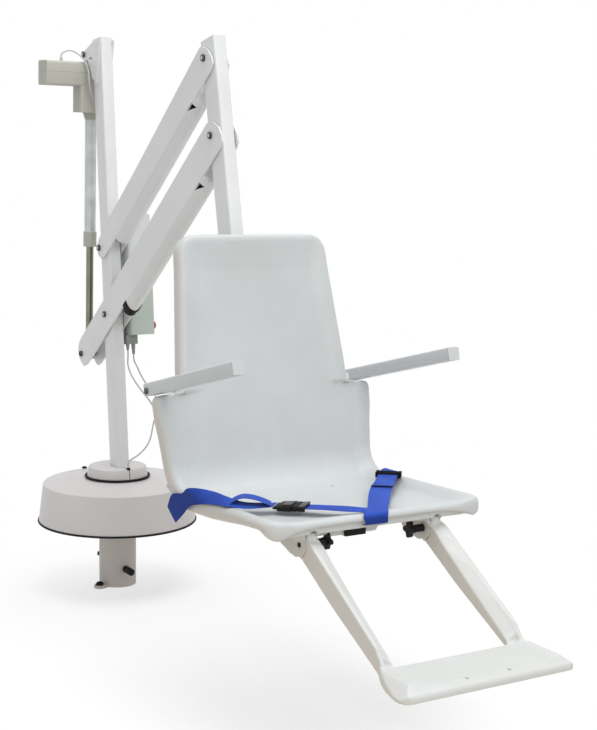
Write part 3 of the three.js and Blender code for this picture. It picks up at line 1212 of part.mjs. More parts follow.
// Control box: two rails on the mast, a lower box, a lift-off battery and a stop button
function boxRail() {
  const left = MAST_WIDTH / 2 - TUBE_WALL / 2;
  const right = BOX_LEFT - TOUCH_GAP;
  const outline = [[left, RAIL_FRONT], [left, RAIL_REAR], [left + RAIL_THICK, RAIL_REAR],
    [left + RAIL_THICK, RAIL_FRONT + RAIL_THICK], [right - RAIL_THICK, RAIL_FRONT + RAIL_THICK],
    [right - RAIL_THICK, RAIL_REAR], [right, RAIL_REAR], [right, RAIL_FRONT]];
  const [first, second] = RAIL_SPANS.map(([low, high]) => plateZ(outline, low, high));
  return placed(first.add(second), MAST_FRAME);
}

function controlBox() {
  let body = roundedBox([BOX_LEFT, BOX_FRONT, BOX_BASE], [BOX_RIGHT, BOX_REAR, BOX_SEAM - TOUCH_GAP / 2], BOX_ROUND);
  const from = new THREE.Vector3(BOX_RIGHT - BUTTON_STEM, BUTTON_DEPTH, BOX_BASE + BUTTON_RISE);
  const towards = new THREE.Vector3(BOX_RIGHT, BUTTON_DEPTH, BOX_BASE + BUTTON_RISE);
  const bore = BUTTON_STEM_RADIUS + RUN_GAP / 2;
  body = body.subtract(aimed(rod(bore, -BUTTON_TRAVEL - RUN_GAP, 2 * BUTTON_STEM, COARSE), from, towards));
  return placed(body, MAST_FRAME);
}

function battery() {
  const inset = BATTERY_INSET;
  const body = roundedBox([BOX_LEFT + inset, BOX_FRONT + inset, BOX_SEAM + TOUCH_GAP / 2],
    [BOX_RIGHT - inset, BOX_REAR - inset, BATTERY_TOP - BOX_ROUND], BOX_ROUND);
  const top = roundedBox([BOX_LEFT + BOX_ROUND, BOX_FRONT + BOX_ROUND, BATTERY_TOP - BOX_ROUND],
    [BOX_RIGHT - BOX_ROUND, BOX_REAR - BOX_ROUND, BATTERY_TOP], BOX_ROUND / 2);
  return placed(body.add(top), MAST_FRAME);
}

function stopButton() {
  const gap = BUTTON_TRAVEL + RUN_GAP;
  const profile = [[0, -BUTTON_STEM], [BUTTON_STEM_RADIUS, -BUTTON_STEM], [BUTTON_STEM_RADIUS, gap],
    [BUTTON_RADIUS, gap], [BUTTON_RADIUS, BUTTON_PROUD - BUTTON_EDGE], [BUTTON_RADIUS - BUTTON_EDGE, BUTTON_PROUD], [0, BUTTON_PROUD]];
  const from = new THREE.Vector3(BOX_RIGHT, BUTTON_DEPTH, BOX_BASE + BUTTON_RISE);
  const towards = new THREE.Vector3(2 * BOX_RIGHT, BUTTON_DEPTH, BOX_BASE + BUTTON_RISE);
  return placed(aimed(turned(profile, COARSE), from, towards), MAST_FRAME);
}

// Plug block under the box, with two tapered cable reliefs
function plugBlock() {
  let body = roundedBox([BLOCK_LEFT, BLOCK_FRONT, BLOCK_BASE], [BLOCK_RIGHT, BLOCK_REAR, BOX_BASE - TOUCH_GAP], BLOCK_ROUND);
  for (const relief of [FIRST_RELIEF, SECOND_RELIEF]) {
    const low = BLOCK_BASE - relief.length;
    const profile = [[0, low], [relief.radius * RELIEF_TIP_SHARE, low], [relief.radius, BLOCK_BASE],
      [relief.radius, BLOCK_BASE + BLOCK_ROUND], [0, BLOCK_BASE + BLOCK_ROUND]];
    body = body.add(turned(profile, COARSE).translate([relief.x, relief.depth, 0]));
  }
  return placed(body, MAST_FRAME);
}

// Armrests: square tubes with an end plug, hinged on bolts in the frame's cross bar
const REST_FRAME = new THREE.Matrix4().makeBasis(
  new THREE.Vector3(1, 0, 0), new THREE.Vector3(0, Math.sin(REST_TILT), Math.cos(REST_TILT)),
  new THREE.Vector3(0, -Math.cos(REST_TILT), Math.sin(REST_TILT))).setPosition(0, REST_PIVOT.x, REST_PIVOT.y);

function armrest(side) {
  const middle = REST_SIZE / 2 - REST_BELOW;
  const outer = roundedOutline(REST_SIZE, REST_SIZE, REST_ROUND).map(([x, v]) => [x, v + middle]);
  let body = plateZ(outer, -REST_BEHIND, REST_AHEAD);
  const hollow = roundedBox([-REST_SIZE / 2 + REST_WALL, -REST_BELOW + REST_WALL, REST_BEHIND],
    [REST_SIZE / 2 - REST_WALL, REST_SIZE - REST_BELOW - REST_WALL, 2 * REST_AHEAD], REST_ROUND / 4);
  body = body.subtract(hollow);
  const corner = plateX([[-REST_SIZE, 0], [-REST_SIZE, -REST_SIZE], [0, -REST_SIZE], [0, 0]], -REST_SIZE, REST_SIZE);
  const swap = new THREE.Matrix4().makeBasis(
    new THREE.Vector3(1, 0, 0), new THREE.Vector3(0, 0, 1), new THREE.Vector3(0, 1, 0));
  const round = rodX(REST_BEHIND, -REST_SIZE, REST_SIZE, new THREE.Vector2(0, 0), MEDIUM);
  const bite = placed(corner.subtract(round), swap);
  body = body.subtract(bite.volume() < 0 ? solid(flipped(geometryOf(bite))) : bite);
  const across = new THREE.Vector3(1, 0, 0);
  body = body.subtract(aimed(rod(REST_BOLT_RADIUS + TOUCH_GAP, -REST_SIZE, REST_SIZE, COARSE), new THREE.Vector3(), across));
  return restPlaced(body, side);
}

function restPlaced(body, side) {
  const shift = new THREE.Matrix4().makeTranslation(side * REST_X, 0, 0);
  const moved = placed(body, shift.multiply(REST_FRAME));
  return moved.volume() < 0 ? solid(flipped(geometryOf(moved))) : moved;
}

function armrestPlug(side) {
  const middle = REST_SIZE / 2 - REST_BELOW;
  const start = REST_AHEAD + TOUCH_GAP;
  const face = roundedOutline(REST_SIZE, REST_SIZE, REST_ROUND).map(([x, v]) => [x, v + middle]);
  const inner = REST_SIZE - 2 * REST_WALL - 2 * TOUCH_GAP;
  const neck = roundedOutline(inner, inner, REST_ROUND / 2).map(([x, v]) => [x, v + middle]);
  return restPlaced(plateZ(face, start, start + REST_PLUG).add(plateZ(neck, start - REST_PLUG_NECK, start + REST_PLUG / 2)), side);
}

function armrestBolt(side) {
  const outer = REST_SIZE / 2 + TOUCH_GAP;
  const inner = -REST_SIZE / 2 - REST_BOLT_REACH;
  const tip = REST_BOLT_HEAD_RADIUS - BOLT_EDGE;
  const profile = [[0, inner], [REST_BOLT_RADIUS, inner], [REST_BOLT_RADIUS, outer], [REST_BOLT_HEAD_RADIUS, outer],
    [REST_BOLT_HEAD_RADIUS, outer + REST_BOLT_HEAD / 2], [tip, outer + REST_BOLT_HEAD], [0, outer + REST_BOLT_HEAD]];
  const from = new THREE.Vector3(side * REST_X, REST_PIVOT.x, REST_PIVOT.y);
  return aimed(turned(profile, COARSE), from, new THREE.Vector3(2 * side * REST_X, REST_PIVOT.x, REST_PIVOT.y));
}

// Footrest: two hinged legs and a moulded board with raised cheeks and two drain holes
function footrest() {
  const board = [[-BOARD_HALF, BOARD_BASE_Z], [BOARD_HALF, BOARD_BASE_Z], [BOARD_HALF, BOARD_BASE_Z + BOARD_BEVEL],
    [CHEEK_IN, BOARD_TOP_Z + CHEEK_HEIGHT], [CHEEK_IN - LEG_WIDTH / 2, BOARD_TOP_Z + CHEEK_HEIGHT],
    [LEG_IN, BOARD_TOP_Z], [-LEG_IN, BOARD_TOP_Z], [-CHEEK_IN + LEG_WIDTH / 2, BOARD_TOP_Z + CHEEK_HEIGHT],
    [-CHEEK_IN, BOARD_TOP_Z + CHEEK_HEIGHT], [-BOARD_HALF, BOARD_BASE_Z + BOARD_BEVEL]];
  const upright = new THREE.Matrix4().makeRotationX(Math.PI / 2);
  let body = placed(plateZ(board, 0, BOARD_REAR_Y - BOARD_FRONT_Y), upright).translate([0, BOARD_REAR_Y, 0]);
  const side = [[BOARD_REAR_Y, BOARD_BASE_Z + BOARD_BEVEL], [BOARD_REAR_Y, BOARD_TOP_Z - BOARD_BEVEL / 2],
    [BOARD_REAR_Y - BOARD_BEVEL, BOARD_TOP_Z + CHEEK_HEIGHT], [CHEEK_FRONT_Y + 2 * BOARD_BEVEL, BOARD_TOP_Z + CHEEK_HEIGHT],
    [CHEEK_FRONT_Y, BOARD_TOP_Z - BOARD_BEVEL / 2], [BOARD_FRONT_Y + BOARD_BEVEL / 2, BOARD_TOP_Z - 2 * BOARD_BEVEL / 2],
    [BOARD_FRONT_Y, BOARD_TOP_Z - 2 * BOARD_BEVEL], [BOARD_FRONT_Y, BOARD_BASE_Z + BOARD_BEVEL / 2],
    [BOARD_FRONT_Y + BOARD_BEVEL / 2, BOARD_BASE_Z], [BOARD_REAR_Y - 6 * BOARD_BEVEL, BOARD_BASE_Z]];
  body = body.intersect(plateX(side, -BOARD_HALF, BOARD_HALF));
  const depth = BOARD_REAR_Y - BOARD_FRONT_Y;
  const edge = BOARD_EDGE_SHARES.map(([across, along]) => [across * BOARD_HALF, BOARD_REAR_Y - along * depth]);
  const half = [[0, BOARD_REAR_Y], ...edge];
  for (let i = 0; i <= BOARD_CORNER_STEPS; i += 1) {
    const a = TAU / 4 * i / BOARD_CORNER_STEPS;
    const x = BOARD_HALF - BOARD_ROUND + BOARD_ROUND * Math.cos(a);
    half.push([x, BOARD_FRONT_Y + BOARD_ROUND - BOARD_ROUND * Math.sin(a)]);
  }
  const plan = [...half, [0, BOARD_FRONT_Y], ...half.slice(1).reverse().map(([x, y]) => [-x, y])].reverse();
  body = body.intersect(plateZ(plan, BOARD_BASE_Z, 2 * BOARD_TOP_Z));
  for (const way of [-1, 1]) {
    const [low, high] = sided(way, LEG_IN, LEG_IN + LEG_WIDTH);
    const rib = sided(way, LEG_IN + LEG_WIDTH - LEG_RIB, LEG_IN + LEG_WIDTH);
    const leg = plateX([...LEG_TOP_LINE, ...LEG_BASE_LINE], low, high)
      .add(plateX([...RIB_TOP_LINE, ...LEG_BASE_LINE], ...rib));
    const hollow = rodX(FORK_NOSE + RUN_GAP, low - RUN_GAP, high + RUN_GAP, KNEE, MEDIUM);
    body = body.add(leg.subtract(hollow));
    const [near, far] = sided(way, LEG_IN + FORK_WALL + RUN_GAP, LEG_IN + LEG_WIDTH - FORK_WALL - RUN_GAP);
    body = body.add(rodX(KNEE_RADIUS, near, far, KNEE, MEDIUM));
  }
  for (const way of [-1, 1]) {
    body = body.subtract(rodX(KNOB_STUD_RADIUS + TOUCH_GAP, ...sided(way, 0, BOARD_HALF), KNEE));
    body = body.subtract(rod(DRAIN_RADIUS, BOARD_BASE_Z / 2, 2 * BOARD_TOP_Z, COARSE)
      .translate([way * DRAIN_X, DRAIN_Y, 0]));
  }
  return body;
}

// Star knob: rounded lobes, a hub and a stud through fork and leg
function starKnob(side) {
  const outline = [];
  const steps = LOBE_STEPS * KNOB_LOBES;
  for (let i = 0; i < steps; i += 1) {
    const a = TAU * i / steps;
    const wave = (1 + Math.cos(KNOB_LOBES * a)) / 2;
    const r = KNOB_RADIUS * (KNOB_WAIST_SHARE + (1 - KNOB_WAIST_SHARE) * smooth(wave));
    outline.push([r * Math.cos(a), r * Math.sin(a)]);
  }
  let body = plateZ(outline, 0, KNOB_THICK);
  body = body.add(rod(KNOB_HUB_RADIUS, 0, LEG_IN - TOUCH_GAP - KNOB_X, COARSE));
  body = body.add(rod(KNOB_STUD_RADIUS, 0, KNOB_STUD_END - KNOB_X, COARSE));
  const from = new THREE.Vector3(side * KNOB_X, KNEE.x, KNEE.y);
  return aimed(body, from, new THREE.Vector3(side * BOARD_HALF, KNEE.x, KNEE.y));
}

// Flat webbing between two edges, each a list of points, lofted into one closed band
function ribbon(front, rear) {
  const middle = front.map((p, i) => p.clone().add(rear[i]).multiplyScalar(1 / 2));
  const rings = middle.map((at, i) => {
    const way = middle[Math.min(i + 1, middle.length - 1)].clone().sub(middle[Math.max(i - 1, 0)]);
    const width = rear[i].clone().sub(front[i]);
    const normal = width.clone().cross(way).setLength(WEB_THICKNESS / 2);
    return [front[i].clone().add(normal), rear[i].clone().add(normal), rear[i].clone().sub(normal),
      front[i].clone().sub(normal)].map((p) => p.toArray());
  });
  const body = solid(loft(rings));
  return body.volume() < 0 ? solid(flipped(geometryOf(body))) : body;
}

function points3(list) {
  return list.map((p) => new THREE.Vector3(...p));
}

function strapLeft() {
  const way = BUCKLE_TO.clone().sub(BUCKLE_FROM).normalize();
  const [rear, front] = levelEdges([BUCKLE_FROM.clone().addScaledVector(way, -TOUCH_GAP), BUCKLE_TO]);
  return ribbon([...points3(LEFT_FRONT_EDGE), front[0]], [...points3(LEFT_REAR_EDGE), rear[0]]);
}

// Both edges of webbing that runs flat through level points
function levelEdges(centres) {
  const front = [];
  const rear = [];
  centres.forEach((at, i) => {
    const way = centres[Math.min(i + 1, centres.length - 1)].clone().sub(centres[Math.max(i - 1, 0)]);
    const across = new THREE.Vector3(way.y, -way.x, 0).setLength(WEB_WIDTH / 2);
    front.push(at.clone().sub(across));
    rear.push(at.clone().add(across));
  });
  return [front, rear];
}

function strapLap() {
  const way = BUCKLE_TO.clone().sub(BUCKLE_FROM).normalize();
  const [nearFront, nearRear] = levelEdges([BUCKLE_FROM, BUCKLE_TO.clone().addScaledVector(way, TOUCH_GAP)]);
  const [farFront, farRear] = levelEdges([BUCKLE_TO, LAP_END]);
  return ribbon([nearFront[1], farFront[1]], [nearRear[1], farRear[1]]);
}

// Up outside the right rail, over it, across the seat and down over the front lip
function strapRight() {
  const outside = SEAT_HALF + WEB_CLEAR + WEB_THICKNESS / 2;
  const half = WEB_WIDTH / 2;
  const front = [];
  const rear = [];
  const rise = [[outside, RIGHT_RAIL_Y, STRAP_LOW_Z], [outside, RIGHT_RAIL_Y, RIGHT_FROM.z - EDGE_ROUND],
    [outside - EDGE_ROUND / 2, RIGHT_RAIL_Y, RIGHT_FROM.z]];
  for (const [x, y, z] of rise) {
    front.push(new THREE.Vector3(x, y - half, z));
    rear.push(new THREE.Vector3(x, y + half, z));
  }
  const [runFront, runRear] = levelEdges([RIGHT_FROM, RIGHT_TO]);
  front.push(...runFront);
  rear.push(...runRear);
  const lip = SEAT_FRONT.x - WEB_CLEAR - WEB_THICKNESS / 2;
  for (const [y, z] of [[lip, RIGHT_TO.z - EDGE_ROUND / 2], [lip, SEAT_FRONT.y - SHELL_THICK]]) {
    front.push(new THREE.Vector3(RIGHT_TO.x + half, y, z));
    rear.push(new THREE.Vector3(RIGHT_TO.x - half, y, z));
  }
  return ribbon(front, rear);
}

// X runs along the webbing and Z out of its face
function strapFrame(from, to, reach) {
  const way = to.clone().sub(from).normalize();
  const across = new THREE.Vector3(0, 0, 1).cross(way).normalize();
  const up = way.clone().cross(across);
  return new THREE.Matrix4().makeBasis(way, across, up).setPosition(from.clone().addScaledVector(way, reach));
}

// Buckle: a socket with a bay and a tongue that slides out of it
function buckleFrame() {
  return strapFrame(BUCKLE_FROM, BUCKLE_TO, 0);
}

function buckleSocket() {
  const half = BUCKLE_WIDTH / 2;
  const mid = BUCKLE_THICK / 2;
  let body = roundedBox([TOUCH_GAP, -half, -mid], [BUCKLE_SOCKET, half, mid], BUCKLE_ROUND);
  body = body.subtract(block([BUCKLE_WALL * 2, -half + BUCKLE_WALL, -mid + BUCKLE_WALL],
    [2 * BUCKLE_SOCKET, half - BUCKLE_WALL, mid - BUCKLE_WALL]));
  return placed(body, buckleFrame());
}

function buckleTongue() {
  const half = BUCKLE_WIDTH / 2;
  const mid = BUCKLE_THICK / 2;
  const start = BUCKLE_SOCKET + TOUCH_GAP;
  const end = BUCKLE_FROM.distanceTo(BUCKLE_TO) - TOUCH_GAP;
  const inset = BUCKLE_WALL + RUN_GAP;
  let body = roundedBox([start, -half, -mid], [end, half, mid], BUCKLE_ROUND);
  body = body.add(block([start - BUCKLE_REACH, -half + inset, -mid + inset], [start + BUCKLE_ROUND, half - inset, mid - inset]));
  return placed(body, buckleFrame());
}

// Three-bar slider round the right strap
function slider() {
  const frame = strapFrame(RIGHT_FROM, RIGHT_TO, SLIDER_AT);
  const half = WEB_WIDTH / 2 + RUN_GAP;
  const gap = WEB_THICKNESS / 2 + TOUCH_GAP;
  const long = SLIDER_LONG / 2;
  const bar = SLIDER_BAR;
  let body = block([-long, -half - bar, -gap - bar / 2], [long, half + bar, gap + bar]);
  body = body.subtract(block([-2 * long, -half, -gap], [2 * long, half, gap]));
  for (const way of [-1, 1]) {
    const [low, high] = sided(way, bar / 2, long - bar);
    body = body.subtract(block([low, -half, 0], [high, half, 2 * gap + bar]));
  }
  return placed(body.subtract(block([-long + bar, -half, -gap - bar], [long - bar, half, 0])), frame);
}

// Cables: plain tubes through points chosen along their routes
function cable(points, steps) {
  const curve = new THREE.CatmullRomCurve3(points, false, 'centripetal');
  const ring = ringOutline(new THREE.Vector2(), CABLE_RADIUS, CORD_SIDES);
  const shape = new THREE.Shape(ring.map((p) => new THREE.Vector2(...p)));
  console.log(`cable length ${curve.getLength().toFixed(1)} mm`);
  return solid(new THREE.ExtrudeGeometry(shape, { steps, extrudePath: curve, bevelEnabled: false, curveSegments: 1 }));
}

function reliefTip(relief, drop) {
  return new THREE.Vector3(relief.x, relief.depth, BLOCK_BASE - relief.length - drop).applyMatrix4(MAST_FRAME);
}

function motorLead() {
  const start = [reliefTip(FIRST_RELIEF, TOUCH_GAP), reliefTip(FIRST_RELIEF, CABLE_STRAIGHT)];
  const top = COLLAR_TOP_Z + GROMMET_HEIGHT + 2 * TOUCH_GAP;
  const end = [new THREE.Vector3(0, GROMMET_Y, top + CABLE_STRAIGHT), new THREE.Vector3(0, GROMMET_Y, top)];
  return cable([...start, ...points3(MOTOR_LEAD), ...end], MOTOR_LEAD_STEPS);
}

function sensorLead() {
  const start = [reliefTip(SECOND_RELIEF, TOUCH_GAP), reliefTip(SECOND_RELIEF, CABLE_STRAIGHT)];
  const top = GROMMET_HEIGHT + 2 * TOUCH_GAP;
  const end = [drumSpot(top + CABLE_STRAIGHT), drumSpot(top)];
  return cable([...start, ...points3(SENSOR_LEAD), ...end], SENSOR_LEAD_STEPS);
}

function actuatorLead() {
  const top = HOUSING_TOP + LEAD_GLAND_HEIGHT;
  const spot = (height) => new THREE.Vector3(LEAD_GLAND.x, LEAD_GLAND.y, height).applyMatrix4(STROKE_FRAME);
  const start = [spot(top + TOUCH_GAP), spot(top + CABLE_STRAIGHT / 2)];
  const inside = MAST_DEPTH / 2 - 2 * TUBE_WALL;
  const end = [inside + CABLE_STRAIGHT, inside].map((depth) => (
    new THREE.Vector3(0, depth, LEAD_INTO).applyMatrix4(MAST_FRAME)));
  return cable([...start, ...points3(ACTUATOR_LEAD), ...end], ACTUATOR_LEAD_STEPS);
}

// Base and swivel
add('anchor_post', anchorPost(), 0xb9b5b0, 0.45, 0.3);
add('post_bolt', postBolt(0), BLACK, 0.5, 0.4);
add('foot_ear_cap', earCap(), BLACK, 0.5);
add('clamp_handle', clampHandle(), BLACK, 0.5);
add('slew_gear', slewGear(), STEEL, 0.4, 0.9);
add('slew_bearing', slewBearing(), STEEL, 0.3, 0.9);
add('turntable', turntable(), WHITE, 0.45, 0.2);
add('slew_motor', slewMotor(), DARK_STEEL, 0.45, 0.7);
add('slew_pinion', slewPinion(), STEEL, 0.4, 0.9);
add('drum_cover', drumCover(), WHITE, 0.4);
add('drum_trim', drumTrim(), BLACK, 0.6);
add('drum_plug', drumPlug(), BLACK, 0.6);
add('collar_cover', collarCover(), WHITE, 0.4);
add('collar_trim', collarTrim(), BLACK, 0.6);
add('cord_grommet', cordGrommet(), BLACK, 0.6);
add('drum_grommet', drumGrommet(), BLACK, 0.6);

// Mast and arms
add('mast', mast(), WHITE, 0.35);
add('upper_mast_bolt', pivotBolt(UM, ARM_HALF + TOUCH_GAP), DARK_STEEL, 0.35, 0.9);
add('lower_mast_bolt', pivotBolt(LM, ARM_HALF + TOUCH_GAP), DARK_STEEL, 0.35, 0.9);
add('gusset_bolt', pivotBolt(GUSSET_PIVOT, MAST_WIDTH / 2 + GUSSET_THICK + TOUCH_GAP), DARK_STEEL, 0.35, 0.9);
add('upper_arm', arm(UM, UPPER_OUTLINE, UPPER_TROUGH, [UM, UU]), WHITE, 0.35);
add('lower_arm', arm(LM, LOWER_OUTLINE, LOWER_TROUGH, [LM, LU, LUG]), WHITE, 0.35);
add('arm_bumper', armBumper(), BLACK, 0.7);
add('lug_bolt_left', lugBolt(-1), DARK_STEEL, 0.35, 0.9);
add('lug_bolt_right', lugBolt(1), DARK_STEEL, 0.35, 0.9);
add('upright', upright(), WHITE, 0.35);
add('upper_upright_bolt', pivotBolt(UU, ARM_HALF + TOUCH_GAP), DARK_STEEL, 0.35, 0.9);
add('lower_upright_bolt', pivotBolt(LU, ARM_HALF + TOUCH_GAP), DARK_STEEL, 0.35, 0.9);

// Chair
add('seat_frame', onChair(seatFrame()), WHITE, 0.4);
add('seat_frame_cap', onChair(frameEndCap()), BLACK, 0.6);
add('chair_shell', onChair(chairShell()), SHELL_WHITE, 0.45);

add('armrest_left', onChair(armrest(-1)), 0xa9abad, 0.5);
add('armrest_right', onChair(armrest(1)), 0xa9abad, 0.5);
add('armrest_plug_left', onChair(armrestPlug(-1)), 0xc9cbcc, 0.5);
add('armrest_plug_right', onChair(armrestPlug(1)), 0xc9cbcc, 0.5);
add('armrest_bolt_left', onChair(armrestBolt(-1)), DARK_STEEL, 0.35, 0.9);
add('armrest_bolt_right', onChair(armrestBolt(1)), DARK_STEEL, 0.35, 0.9);
add('footrest', onChair(footrest()), SHELL_WHITE, 0.45);
add('footrest_knob_left', onChair(starKnob(-1)), BLACK, 0.6);
add('footrest_knob_right', onChair(starKnob(1)), BLACK, 0.6);

// Actuator
add('actuator_cover', actuatorCover(), BEIGE, 0.5);
add('actuator_body', actuatorBody(), BEIGE, 0.5);
add('actuator_motor', actuatorMotor(), DARK_STEEL, 0.4, 0.7);
add('actuator_tube', outerTube(), 0xb9bcbb, 0.4, 0.3);
add('actuator_ring', endRing(), 0xb3b4b0, 0.45);
add('actuator_screw', driveScrew(), STEEL, 0.3, 0.9);
add('actuator_rod', driveRod(), 0x6e6e5c, 0.3, 0.8);

// Control box
add('control_box', controlBox(), BOX_GREEN, 0.5);
add('battery', battery(), 0xb2bab5, 0.5);
add('stop_button', stopButton(), 0xb01018, 0.4);
add('plug_block', plugBlock(), 0x8e928c, 0.5);

// Belt
add('strap_left', onChair(strapLeft()), WEB_BLUE, 0.8);
add('strap_lap', onChair(strapLap()), WEB_BLUE, 0.8);
add('strap_right', onChair(strapRight()), WEB_BLUE, 0.8);
add('buckle_socket', onChair(buckleSocket()), BLACK, 0.5);
add('buckle_tongue', onChair(buckleTongue()), BLACK, 0.5);
add('strap_slider', onChair(slider()), BLACK, 0.5);

// Cables
add('motor_lead', motorLead(), LEAD_GREY, 0.6);
add('sensor_lead', sensorLead(), LEAD_GREY, 0.6);
add('actuator_lead', actuatorLead(), LEAD_GREY, 0.6);

export default group;
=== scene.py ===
import json
import math

import bmesh
import bpy
from mathutils import Matrix, Vector

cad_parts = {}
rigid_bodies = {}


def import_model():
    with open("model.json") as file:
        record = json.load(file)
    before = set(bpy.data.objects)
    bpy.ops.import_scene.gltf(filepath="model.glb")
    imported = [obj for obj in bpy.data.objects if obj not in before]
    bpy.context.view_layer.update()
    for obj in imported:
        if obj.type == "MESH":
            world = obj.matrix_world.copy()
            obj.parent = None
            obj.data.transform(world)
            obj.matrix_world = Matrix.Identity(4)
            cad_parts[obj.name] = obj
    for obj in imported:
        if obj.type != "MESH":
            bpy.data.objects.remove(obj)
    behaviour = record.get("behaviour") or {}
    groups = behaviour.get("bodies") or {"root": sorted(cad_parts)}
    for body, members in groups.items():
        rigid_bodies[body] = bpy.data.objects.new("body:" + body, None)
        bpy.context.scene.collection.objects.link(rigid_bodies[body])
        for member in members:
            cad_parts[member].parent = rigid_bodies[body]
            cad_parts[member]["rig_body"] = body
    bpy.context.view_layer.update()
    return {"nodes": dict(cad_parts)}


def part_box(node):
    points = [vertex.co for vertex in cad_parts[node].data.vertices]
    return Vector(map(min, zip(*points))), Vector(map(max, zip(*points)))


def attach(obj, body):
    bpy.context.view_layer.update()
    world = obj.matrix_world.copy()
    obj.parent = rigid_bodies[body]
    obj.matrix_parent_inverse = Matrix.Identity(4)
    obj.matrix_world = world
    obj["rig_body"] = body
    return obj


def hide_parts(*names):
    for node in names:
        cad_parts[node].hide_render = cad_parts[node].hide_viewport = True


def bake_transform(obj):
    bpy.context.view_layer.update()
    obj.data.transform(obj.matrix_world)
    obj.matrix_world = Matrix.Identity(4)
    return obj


# Lengths in the tables are in millimetres, in the frame of the part
MM = 0.001
UP = Vector((0, 0, 1))
SIDEWAYS = Vector((1, 0, 0))
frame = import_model()
NODES = frame["nodes"]


def link(obj):
    bpy.context.scene.collection.objects.link(obj)
    return obj


# Camera at the photograph's angle
EYE = (-1797.7, -4023.4, 1285.4)
AZIMUTH = math.radians(-31.32)
DROP = math.radians(7.69)
ROLL = math.radians(0.86)
FOCAL_PX = 1438.74
LONG_SIDE_PX = 730
SENSOR_MM = 36
FARTHEST_SEEN = 50


def make_camera():
    side = Vector((math.cos(AZIMUTH), math.sin(AZIMUTH), 0))
    back = Vector((math.sin(AZIMUTH) * math.cos(DROP), -math.cos(AZIMUTH) * math.cos(DROP),
                   math.sin(DROP)))
    top = back.cross(side)
    right = side * math.cos(ROLL) + top * math.sin(ROLL)
    up = top * math.cos(ROLL) - side * math.sin(ROLL)
    data = bpy.data.cameras.new("camera")
    data.sensor_fit = "AUTO"
    data.sensor_width = SENSOR_MM
    data.lens = SENSOR_MM * FOCAL_PX / LONG_SIDE_PX
    data.clip_end = FARTHEST_SEEN
    camera = link(bpy.data.objects.new("camera", data))
    turn = Matrix((right, up, back)).transposed().to_4x4()
    camera.matrix_world = Matrix.Translation(Vector(EYE) * MM) @ turn
    bpy.context.scene.camera = camera


make_camera()


# Materials, all made of nodes
MIX_FIRST, MIX_SECOND, MIX_RESULT = 6, 7, 2


class Look:
    def __init__(self, name):
        self.material = bpy.data.materials.new(name)
        self.material.use_nodes = True
        self.tree = self.material.node_tree
        self.shader = self.tree.nodes["Principled BSDF"]
        self.coords = self.tree.nodes.new("ShaderNodeTexCoord")

    def node(self, kind, **values):
        made = self.tree.nodes.new("ShaderNode" + kind)
        for key, value in values.items():
            if key in made.inputs:
                made.inputs[key].default_value = value
            else:
                setattr(made, key, value)
        return made

    def join(self, start, end):
        self.tree.links.new(start, end)

    def put(self, value, socket):
        """Gives a socket a link from another one, or a plain value."""
        if isinstance(value, bpy.types.NodeSocket):
            self.join(value, socket)
        else:
            socket.default_value = value

    def surface(self, values):
        """Sets the shader's own sockets by name."""
        for name, value in values.items():
            self.put(value, self.shader.inputs[name])

    def noise(self, scale, detail=3, rough=0.5, source=None):
        made = self.node("TexNoise", Scale=scale, Detail=detail, Roughness=rough)
        self.join(source or self.coords.outputs["Object"], made.inputs["Vector"])
        return made.outputs["Fac"]

    def ramp(self, factor, low, dark, high, light):
        """A colour that goes from dark at the low place to light at the high one."""
        made = self.node("ValToRGB")
        for stop, place, colour in zip(made.color_ramp.elements, (low, high), (dark, light)):
            stop.position = place
            stop.color = (*colour, 1)
        self.join(factor, made.inputs["Fac"])
        return made.outputs["Color"]

    def spread(self, factor, low, high, start=0, end=1, kind="LINEAR"):
        """Maps the range from start to end onto low to high."""
        made = self.node("MapRange", interpolation_type=kind)
        for name, value in (("From Min", start), ("From Max", end), ("To Min", low), ("To Max", high)):
            made.inputs[name].default_value = value
        self.join(factor, made.inputs["Value"])
        return made.outputs["Result"]

    def maths(self, operation, *values):
        made = self.node("Math", operation=operation)
        for socket, value in zip(made.inputs, values):
            self.put(value, socket)
        return made.outputs["Value"]

    def weighed(self, first, first_share, second, second_share):
        """The sum of two values, each times its share."""
        return self.maths("ADD", self.maths("MULTIPLY", first, first_share),
                          self.maths("MULTIPLY", second, second_share))

    def mix(self, factor, first, second):
        """Goes from the first colour to the second as the factor goes from 0 to 1."""
        made = self.node("Mix", data_type="RGBA")
        self.join(factor, made.inputs["Factor"])
        for place, colour in ((MIX_FIRST, first), (MIX_SECOND, second)):
            self.put((*colour, 1) if isinstance(colour, tuple) else colour, made.inputs[place])
        return made.outputs[MIX_RESULT]

    def facing(self, way):
        """How far the surface faces the given way, before the part moves."""
        made = self.node("VectorMath", operation="DOT_PRODUCT")
        made.inputs[1].default_value = way
        self.join(self.coords.outputs["Normal"], made.inputs[0])
        return made.outputs["Value"]

    def bump(self, height, distance, strength, under=None):
        made = self.node("Bump", Strength=strength, Distance=distance)
        self.join(height, made.inputs["Height"])
        if under is not None:
            self.join(under, made.inputs["Normal"])
        return made.outputs["Normal"]


def rgb(code):
    """Linear colour from a screen colour of six digits, by the usual screen formula."""
    parts = [int(code[i:i + 2], 16) / 255 for i in (0, 2, 4)]
    return tuple(c / 12.92 if c <= 0.04045 else ((c + 0.055) / 1.055) ** 2.4 for c in parts)


def near(colour, by):
    return tuple(min(1, max(0, c * by)) for c in colour)


